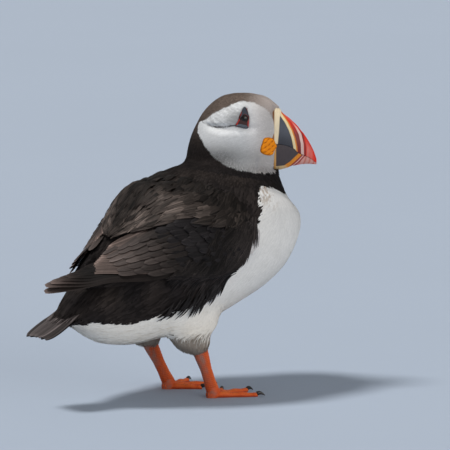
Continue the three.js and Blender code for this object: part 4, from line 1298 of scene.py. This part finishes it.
def eye_of(side, tag):
    horny = (PLATE_HORN, "plate_horn")
    plate("eye_skin_" + tag, side, EYE_PATCH, -0.15, 0.25, rimmed, *horny, rings=22)
    plate("plate_upper_" + tag, side, UPPER_PLATE, 0.1, 0.75, even((0.030, 0.036, 0.050), 0.5),
          *horny, "eye_plate_upper_" + tag)
    plate("plate_lower_" + tag, side, LOWER_PLATE, 0.15, 0.65,
          even((0.075, 0.088, 0.110), 0.4), *horny, "eye_plate_lower_" + tag, rings=10)
    # the eyeball, its dark lid and the red edge of the lid
    middle = face_point(side, EYE)
    outward = unit(LEFT * side + 0.10 * FORWARD)
    u = unit(np.cross(outward, UP))
    a = circle(72)[:, None]
    spokes = np.cos(a) * u + np.sin(a) * np.cross(u, outward)
    off = np.linspace(0.01, 1.25, 40)[:, None, None]
    centre = middle + outward * (0.15 - np.sqrt(EYE_RADIUS ** 2 - EYE_OPEN ** 2))
    p = centre + EYE_RADIUS * (np.cos(off) * outward + np.sin(off) * spokes)
    reach = EYE_RADIUS * np.sin(off[..., 0]) + 0 * a.T
    tone = paint(np.full(3, 0.004), (np.array([0.022, 0.010, 0.007]), smooth(1.35, 1.6, reach)),
                 (np.full(3, 0.003), smooth(2.05, 2.3, reach)))
    piece("eyeball_" + tag, p.reshape(-1, 3), grid_faces(40, 72, closed=True), EYE_GLOSS, "eye",
          tone, "eye_" + tag)
    puff = 1 + 0.10 * np.sin(5 * a + 1) + 0.06 * np.sin(11 * a)
    for name, big, small, out, colour in (
            ("eyelid_", EYE_OPEN + 0.22, 0.34, 0.10, (0.010, 0.008, 0.008)),
            ("eye_ring_", EYE_OPEN + 0.62, 0.20, -0.02, (0.20, 0.014, 0.010))):
        wide = big + small * np.cos(circle(14)) * puff
        deep = out + small * 0.9 * np.sin(circle(14)) * puff
        p = middle + wide[..., None] * spokes[:, None] + deep[..., None] * outward
        p = np.concatenate([p, p[:1]]).reshape(-1, 3)
        piece(name + tag, p, grid_faces(73, 14, closed=True), *horny, colour + 0 * p)
    plate("rosette_" + tag, side, ROSETTE, 0.1, 1.25, gold, GAPE_SKIN, "gape_skin",
          "gape_rosette_" + tag, rings=34, count=150,
          wrinkle=lambda flat: 0.38 * creases(flat) ** 0.6)


for side, tag in SIDES:
    eye_of(side, tag)


# ---------------------------------------------------------------- bill
def ahead_of(lines, along, z):
    """Distance in front of each line across the bill."""
    for line in lines:
        x, up = np.array(sorted(line, key=lambda v: v[1])).T
        yield (along - np.interp(z, up, x)) * 0.8


def upper_look(along, z, below_ridge):
    """Colour and relief of the upper horn at places on its side."""
    slate, groove_1, groove_2 = ahead_of((SLATE_FRONT, GROOVE_1, GROOVE_2), along, z)
    high = smooth(163, 172, z)
    vein = smooth(0.35, 0.1, np.abs(slate - 3.0)) * smooth(160, 166, z)
    band = paint(INK, (RED, high), (np.array([0.42, 0.05, 0.04]), 0.7 * vein))
    pale = mix(np.array([0.74, 0.52, 0.47]), np.array([0.82, 0.34, 0.28]), high)
    shine = 0.5 + 0.5 * np.cos((groove_2 - 1.2) * 2.4)
    pink = smooth(0.4, 1.2, groove_2) * smooth(163, 152, z) * smooth(57.5, 54, along)
    top = smooth(1.4, 0.5, below_ridge) * smooth(35.5, 37, along)
    colour = paint(np.array([0.060, 0.069, 0.094]),
                   (np.array([0.045, 0.048, 0.062]), smooth(168, 158, z)),
                   (np.array([0.84, 0.68, 0.38]), smooth(-0.15, 0.2, slate)),
                   (np.array([0.72, 0.23, 0.035]), smooth(1.25, 1.6, slate)),
                   (band, smooth(1.9, 2.3, slate)),
                   (pale, smooth(0.2, 0, np.abs(groove_1 + 0.1) - (0.62 - 0.30 * high))),
                   (mix(RED * 0.72, RED, high), smooth(0.5, 0.75, groove_1)),
                   (INK * 1.2, smooth(0.42, 0.15, np.abs(groove_2)) * (1 - 0.8 * high)),
                   (RED, smooth(0.3, 0.7, groove_2)),
                   (np.array([0.70, 0.24, 0.20]), pink * (0.45 + 0.35 * shine)),
                   (RED, 0.8 * top))
    relief = (0.38 * smooth(-0.2, 0.3, slate) * smooth(2.4, 1.4, slate)
              - 0.32 * smooth(0.8, 0.2, np.abs(groove_1 + 0.3))
              - 0.26 * smooth(0.55, 0.1, np.abs(groove_2)) * smooth(174, 168, z))
    return colour, relief


def lower_look(along, z):
    """Colour and relief of the lower horn at places on its side."""
    slate, orange, groove = ahead_of((LOWER_SLATE, LOWER_ORANGE, LOWER_GROOVE), along, z)
    corner = smooth(143.9, 143.4, z - 0.08 * (along - 33)) * smooth(41.0, 37.5, along)
    veins = 0.5 + 0.5 * np.cos((groove + 0.5 * (z - 144)) * 2.6)
    tip = paint(np.array([0.70, 0.36, 0.31]), (np.array([0.62, 0.17, 0.13]), veins ** 3),
                (RED, smooth(145.2, 144.3, z) * 0.8))
    colour = paint(np.array([0.078, 0.064, 0.068]),
                   (np.array([0.78, 0.27, 0.028]), smooth(-0.2, 0.3, slate)),
                   (np.array([0.72, 0.53, 0.28]), 0.85 * corner),
                   (INK * 1.6, smooth(-0.2, 0.2, orange)),
                   (np.array([0.74, 0.42, 0.36]), smooth(0.5, 0.25, np.abs(groove))),
                   (INK * 1.8, smooth(0.35, 0.6, groove)), (tip, smooth(1.0, 1.4, groove)))
    relief = (0.25 * smooth(-0.3, 0.3, slate) * smooth(0.5, 0.0, orange)
              - 0.28 * smooth(0.55, 0.15, np.abs(groove)))
    return colour, relief


def mandible(name, node, upper):
    """One half of the bill, closed by a dark floor on its mouth side."""
    sign = 1 if upper else -1
    along = np.concatenate([np.linspace(29.4, 32.9, 24, endpoint=False),
                            np.linspace(32.9, 58.7, 230)])[:, None]
    spread = np.interp(along[:, 0], stations(BILL, 300)[0, :, 0], np.linspace(0, 6, 300))
    _, top, bottom, half = between(BILL, spread).T[..., None]
    flare = np.maximum(32.9 - along, 0)
    half, top = half + 0.42 * flare, top - 0.55 * flare
    meet = np.interp(along, *stations(GAPE, 100)[..., 0])
    meet = np.clip(meet, bottom + 0.25, top - 0.25)
    mid, high = (top + bottom) / 2, (top - bottom) / 2
    start = np.arcsin(np.clip((meet + 0.12 * sign - mid) / high, -0.97, 0.97))
    a = start + sign * (np.pi - 2 * sign * start) * np.linspace(0, 1, 150)
    c, s = np.cos(a), np.sin(a)
    z = mid + high * s
    along = along + 0 * z
    colour, relief = upper_look(along, z, top - z) if upper else lower_look(along, z)
    rim, = ahead_of((BAND_FRONT,), along, z)
    band = smooth(0.3, -0.2, rim) * (1 if upper else smooth(33.2, 32.6, along))
    cream = mix(np.array([0.85, 0.71, 0.49]), np.array([0.62, 0.33, 0.10]),
                smooth(157, 154, z) * (not upper))
    colour = paint(colour, (cream, band),
                   (np.array([0.30, 0.13, 0.05]), smooth(32.0, 31.5, along)))
    relief = relief + (0.5 if upper else 0.25) * band
    fade = smooth(0.10, 0.55, np.abs(c)) * smooth(58.6, 55, along)
    wide = (half + relief * (0.35 + 0.65 * fade)) * np.sign(c) * np.abs(c) ** 0.8
    z = z + relief * np.abs(s) * (1 - fade) * np.sign(s) * smooth(58.6, 50, along)
    p = on_head(along, wide, z)
    floor = 0.5 * (p[:, :1] + p[:, -1:]) + UP * 0.9 * sign * smooth(
        58.6, 52, along[:, :1])[..., None]
    dark = np.full((len(p), 1, 3), 0.05) * [1.0, 0.35, 0.3]
    points, faces = ring_loft(np.concatenate([p, floor], 1))
    tint = np.concatenate([np.concatenate([colour, dark], 1).reshape(-1, 3),
                           [[0.1, 0.03, 0.03], [0.5, 0.05, 0.04]]])
    piece(name, points, [f[:, ::sign] for f in faces], BILL_HORN, "bill_horn", tint, node)


mandible("bill_top", "bill_upper", True)
mandible("bill_under", "bill_lower", False)


# ---------------------------------------------------------------- legs and feet
ANKLE_AT = np.array([-34.2, 30.9])
TOE_ROOT = np.array([-25.0, 5.9])
# share of the leg from the ankle, half length, half width
TARSUS = np.array([[0, 5, 4.2], [0.2, 4.6, 3.7], [0.5, 3.7, 3], [0.8, 3.7, 3.2], [1, 4.2, 3.8]])
# forward and outward shift, height, half length and half width of the knob the toes leave
KNOB = [[0, 0, 3.9, 3.5], [1.2, 2, 4.8, 4.2], [0.8, 4.2, 4.6, 4.1],
        [0, TOE_ROOT[1] + 0.6, 4.0, 3.6]]
# pointing angle outward, length, half width
TOES = {"inner": (-38, 23, 2.3), "middle": (-8, 32, 2.5), "outer": (28, 30, 2.4)}
TOE_THICK = 4.6
CLAW_LONG = 4.6


def scales(u, v, size):
    """Rounded scales over a sheet: 0 in the seams to 1 at the middle of a scale."""
    row = np.floor(v / size)
    x = u / size + 0.5 * (row % 2)
    du, dv = (x - np.floor(x) - 0.5) * 2, (v / size - row - 0.5) * 2
    return np.clip(1 - np.sqrt(du ** 2 * 0.9 + dv ** 2 * 0.9), 0, 1) ** 0.7


def patches(p, wavelength, seed):
    return 0.5 + 0.5 * wobble(p.reshape(-1, 3), wavelength, seed).reshape(p.shape[:-1])


def bare_leg(side, tag):
    """Plates down the front of the leg, small scales behind."""
    f = np.linspace(-0.15, 1.06, 150)
    long, wide = (np.interp(f, TARSUS[:, 0], TARSUS[:, k]) for k in (1, 2))
    for v in (long, wide):
        for _ in range(3):
            v[1:-1] = (v[:-2] + v[1:-1] + v[2:]) / 3
    f, long, wide = f[:, None], long[:, None], wide[:, None]
    start = np.array([ANKLE_AT[0] - behind(side, "ankle"), side * LEG_SIDE, ANKLE_AT[1]])
    end = np.array([TOE_ROOT[0] - behind(side, "foot"), side * LEG_SIDE, TOE_ROOT[1]])
    x, y, z = (start + (end - start) * f).T[..., None]
    run = f * np.linalg.norm(end - start)
    a = circle(96)
    c, s = np.cos(a), np.sin(a)
    front = smooth(0.35, 0.85, c)
    small = scales(a * 3.8, run + 0 * a, 1.25)
    scaly = front * np.abs(np.sin(np.pi * run / 2.3)) ** 0.5 + (1 - front) * small
    relief = 0.20 * scaly - 0.1
    px = x + (long + relief + 0.35 * smooth(0.75, 1.0, c)) * c - 0.25
    p = np.stack([px, y + (wide * 0.92 + relief) * s, z + 0.18 * (px - x)], -1)
    worn = smooth(0.2, -0.5, c) * smooth(1.0, 0.2, f)
    grime = np.clip(worn * (0.35 + 0.9 * patches(p, 5, 31 + side)), 0, 1)
    grime = grime * smooth(0.15, 0.5, 1 - 0.6 * small)
    # the back of the leg in painted shade, the front with a painted highlight in a brighter
    # orange
    colour = paint(ORANGE, (BRICK_AND_SHADE, 0.55 * smooth(0.5, -0.4, c) + 0 * px),
                   (np.array([0.84, 0.21, 0.045]), 0.5 * front * smooth(0.3, 0.9, f)),
                   (SCURF, 0.65 * grime))
    colour = colour * (0.62 + 0.38 * smooth(0.05, 0.45, scaly))[..., None]
    points, faces = ring_loft(p[::-1])
    piece("bare_leg_" + tag, points, faces, LEG_SKIN, "leg_skin",
          np.concatenate([colour[::-1].reshape(-1, 3), [BRICK_AND_SHADE, BRICK_AND_SHADE]]), "tarsus_" + tag)


def toe_line(side, key):
    """The way a toe points and the way across it."""
    angle = np.radians(TOES[key][0])
    line = np.array([np.cos(angle), side * np.sin(angle), 0])
    return line, np.array([-line[1], line[0], 0])


def toe(side, key, heel):
    _, length, half = TOES[key]
    line, sideways = toe_line(side, key)
    f, a = np.linspace(0, 1, 110)[:, None], circle(40)
    joints = 0.55 + 0.45 * np.cos(TAU * (f * 3.05 - 0.05))
    blunt = np.sqrt(np.clip(1 - np.clip((f - 0.93) / 0.07, 0, 1) ** 2, 0.02, 1))
    wide = half * (0.84 + 0.20 * joints) * (1 - 0.22 * f) * blunt
    high = TOE_THICK * (0.80 + 0.18 * joints) * (1 - 0.42 * f) * (0.35 + 0.65 * blunt)
    upper = smooth(0.0, 0.6, np.sin(a))
    scute = np.abs(np.sin(np.pi * f * length / 1.35)) ** 0.5
    z = high * (0.42 + 0.58 * np.sin(a)) + 0.13 * upper * scute
    p = (heel + line * (f * length - 2 * (1 - f))[..., None]
         + sideways * (wide * np.cos(a))[..., None] + UP * np.maximum(z, 0.0)[..., None])
    # the top of the toe with painted highlights in a brighter orange, its underside in painted
    # shade
    colour = paint(ORANGE, (np.array([0.84, 0.20, 0.045]), 0.6 * upper * patches(p, 6, 41)),
                   (BRICK_AND_SHADE, smooth(0.2, -0.4, np.sin(a)) + 0 * f))
    colour = colour * (0.70 + 0.30 * smooth(0, 0.5, scute * upper + (1 - upper)))[..., None]
    return *ring_loft(p), colour, [ORANGE, BRICK_AND_SHADE]


def web(side, first, second, heel):
    """The sheet between two toes, folded lengthwise, with a floor under it."""
    one, two = (heel + toe_line(side, key)[0] * TOES[key][1] * 0.965 for key in (first, second))
    rows, cols = 70, 60
    q, s = np.linspace(0, 1, cols), np.linspace(0.04, 1, rows)[:, None]
    rim = one + (two - one) * q[:, None]
    rim = rim + (heel - rim) * (0.24 * q * (1 - q))[:, None]
    p = heel + (rim - heel) * s[..., None]
    gap, lines = np.sin(np.pi * q), q * 17 + 1.2 * np.sin(s * 5)
    z = (1.9 - 0.95 * s - 0.55 * gap * s + np.sin(lines) * 0.16 * gap * s
         + np.sin(s * 34 + 3 * q) * 0.06 * gap)
    colour = paint(BRICK_AND_SHADE, (ORANGE * 0.85, 0.45 * (0.5 + 0.5 * np.sin(lines + 0.6)) * gap),
                   (ORANGE, smooth(0.965, 1.0, s) * 0.7 + 0 * z))
    upper = grid_faces(rows, cols)[:, ::-side]
    edge = np.arange((rows - 1) * cols, rows * cols - 1)
    wall = np.stack([edge, edge + 1, edge + 1 + rows * cols, edge + rows * cols], -1)
    points = np.stack([p + UP * v[..., None] for v in (z, np.minimum(0.02, z))])
    return (points.reshape(-1, 3), [upper, upper[:, ::-1] + rows * cols, wall],
            np.stack([colour, colour]), np.zeros((0, 3)))


def knob(side):
    """The knob the toes spring from."""
    shift, up, long, wide = stations(KNOB, 40)
    a = circle(64)
    pebble = 0.14 * scales(a * 4.2, up * 1.3 + 0 * a, 1.3)
    p = np.stack([TOE_ROOT[0] - behind(side, "foot") + shift + (long + pebble) * np.cos(a),
                  side * LEG_SIDE + (wide + pebble) * np.sin(a),
                  np.maximum(up + 0 * a, 0)], -1)
    worn = smooth(0.3, -0.7, np.cos(a)) * (0.4 + 0.6 * smooth(0.25, 0.75, patches(p, 4, 43)))
    colour = paint(ORANGE, (SCURF, 0.7 * worn), (BRICK_AND_SHADE, np.array(0.3)))
    return *ring_loft(p), colour, [BRICK_AND_SHADE, ORANGE]


def claw(side, tag, key, heel):
    line, sideways = toe_line(side, key)
    f, a = np.linspace(0, 1, 30)[:, None], circle(24)
    thick = 1.25 * (1 - 0.82 * f ** 1.6)
    lift = 1.75 + 1.0 * np.sin(f * np.pi * 0.9) - 1.35 * f ** 1.5
    p = (heel + line * (TOES[key][1] - 0.9 + f * (CLAW_LONG + 0.9))[..., None]
         + sideways * (thick * 0.85 * np.cos(a))[..., None]
         + UP * np.maximum(lift + thick * 1.2 * np.sin(a), 0.05)[..., None])
    tone = mix(np.array([0.016, 0.014, 0.013]), np.array([0.05, 0.042, 0.036]),
               smooth(0.6, 1.0, f) + 0 * a)
    points, faces = ring_loft(p)
    piece("nail_%s_%s" % (key, tag), points, faces, CLAW_HORN, "claw",
          np.concatenate([tone.reshape(-1, 3), tone[[0, -1], 0]]), "claw_%s_%s" % (key, tag))


for side, tag in SIDES:
    bare_leg(side, tag)
    heel = np.array([TOE_ROOT[0] - 1 - behind(side, "foot"), side * LEG_SIDE, 0.0])
    parts = [toe(side, key, heel) for key in TOES]
    parts += [web(side, *pair, heel) for pair in (("inner", "middle"), ("middle", "outer"))]
    parts.append(knob(side))
    tints = [v for *_, colour, ends in parts for v in (colour.reshape(-1, 3), ends)]
    points, faces = joined([part[:2] for part in parts])
    piece("webbed_foot_" + tag, points, faces, LEG_SKIN, "leg_skin", np.concatenate(tints),
          "foot_" + tag)
    for key in TOES:
        claw(side, tag, key, heel)


# ---------------------------------------------------------------- stage
FLOOR_WIDE = 8000.0
FLOOR_COLOUR = np.array([0.41, 0.475, 0.575])
# the way to each lamp, strength, angle, colour
LAMPS = {"key": ((-0.40, 0.14, 0.90), 2.25, 13, (1.0, 0.985, 0.96)),
         "fill": ((0.10, -0.90, 0.42), 0.30, 50, (0.97, 0.98, 1.0)),
         "low": ((0.05, -0.99, 0.06), 1.32, 40, (1.0, 0.95, 0.885))}
LENS, CAMERA_AWAY, CAMERA_RISE = 375, 3.0, 0.1047


def stage():
    floor_tone, tree, shader = nodes_of("floor_tone", Roughness=0.9)
    ramp = add(tree, "ValToRGB", Fac=noise_over(tree, 3.0))
    for stop, gain in zip(tree.nodes["Color Ramp"].color_ramp.elements, (0.985, 1.015)):
        stop.color = (*FLOOR_COLOUR * gain, 1)
    set_inputs(shader, {"Base Color": ramp["Color"]})
    corners = np.array([[-1, -1, 0], [1, -1, 0], [1, 1, 0], [-1, 1, 0]]) * FLOOR_WIDE
    ground = make("floor", corners - PLAN_SHIFT, np.array([[0, 1, 2, 3]]), floor_tone)
    world = bpy.data.worlds.new("studio")
    bpy.context.scene.world = world
    world.use_nodes = True
    set_inputs(world.node_tree.nodes["Background"],
               {"Color": (0.94, 0.97, 1.0, 1), "Strength": 0.30})
    for name, (toward, strength, angle, colour) in LAMPS.items():
        lamp = bpy.data.lights.new(name, "SUN")
        lamp.energy = strength
        lamp.angle = np.radians(angle)
        lamp.color = colour
        holder = bpy.data.objects.new(name, lamp)
        holder.rotation_euler = Vector(toward).to_track_quat("Z", "Y").to_euler()
        bpy.context.scene.collection.objects.link(holder)


def camera():
    turn, rise = np.radians(-35), np.radians(8)
    right = Vector((np.cos(turn), np.sin(turn), 0))
    away = Vector((-np.sin(turn) * np.cos(rise), np.cos(turn) * np.cos(rise), -np.sin(rise)))
    up = right.cross(away)
    lens = bpy.data.cameras.new("camera")
    lens.sensor_width = 36
    lens.lens = LENS
    lens.clip_end = 50
    holder = bpy.data.objects.new("camera", lens)
    place = Vector(PLAN_SHIFT * MM) + up * CAMERA_RISE - away * CAMERA_AWAY
    holder.matrix_world = Matrix((right, up, -away)).transposed().to_4x4()
    holder.matrix_world.translation = place
    bpy.context.scene.collection.objects.link(holder)
    bpy.context.scene.camera = holder


stage()
camera()
bpy.context.scene.view_settings.view_transform = "Standard"
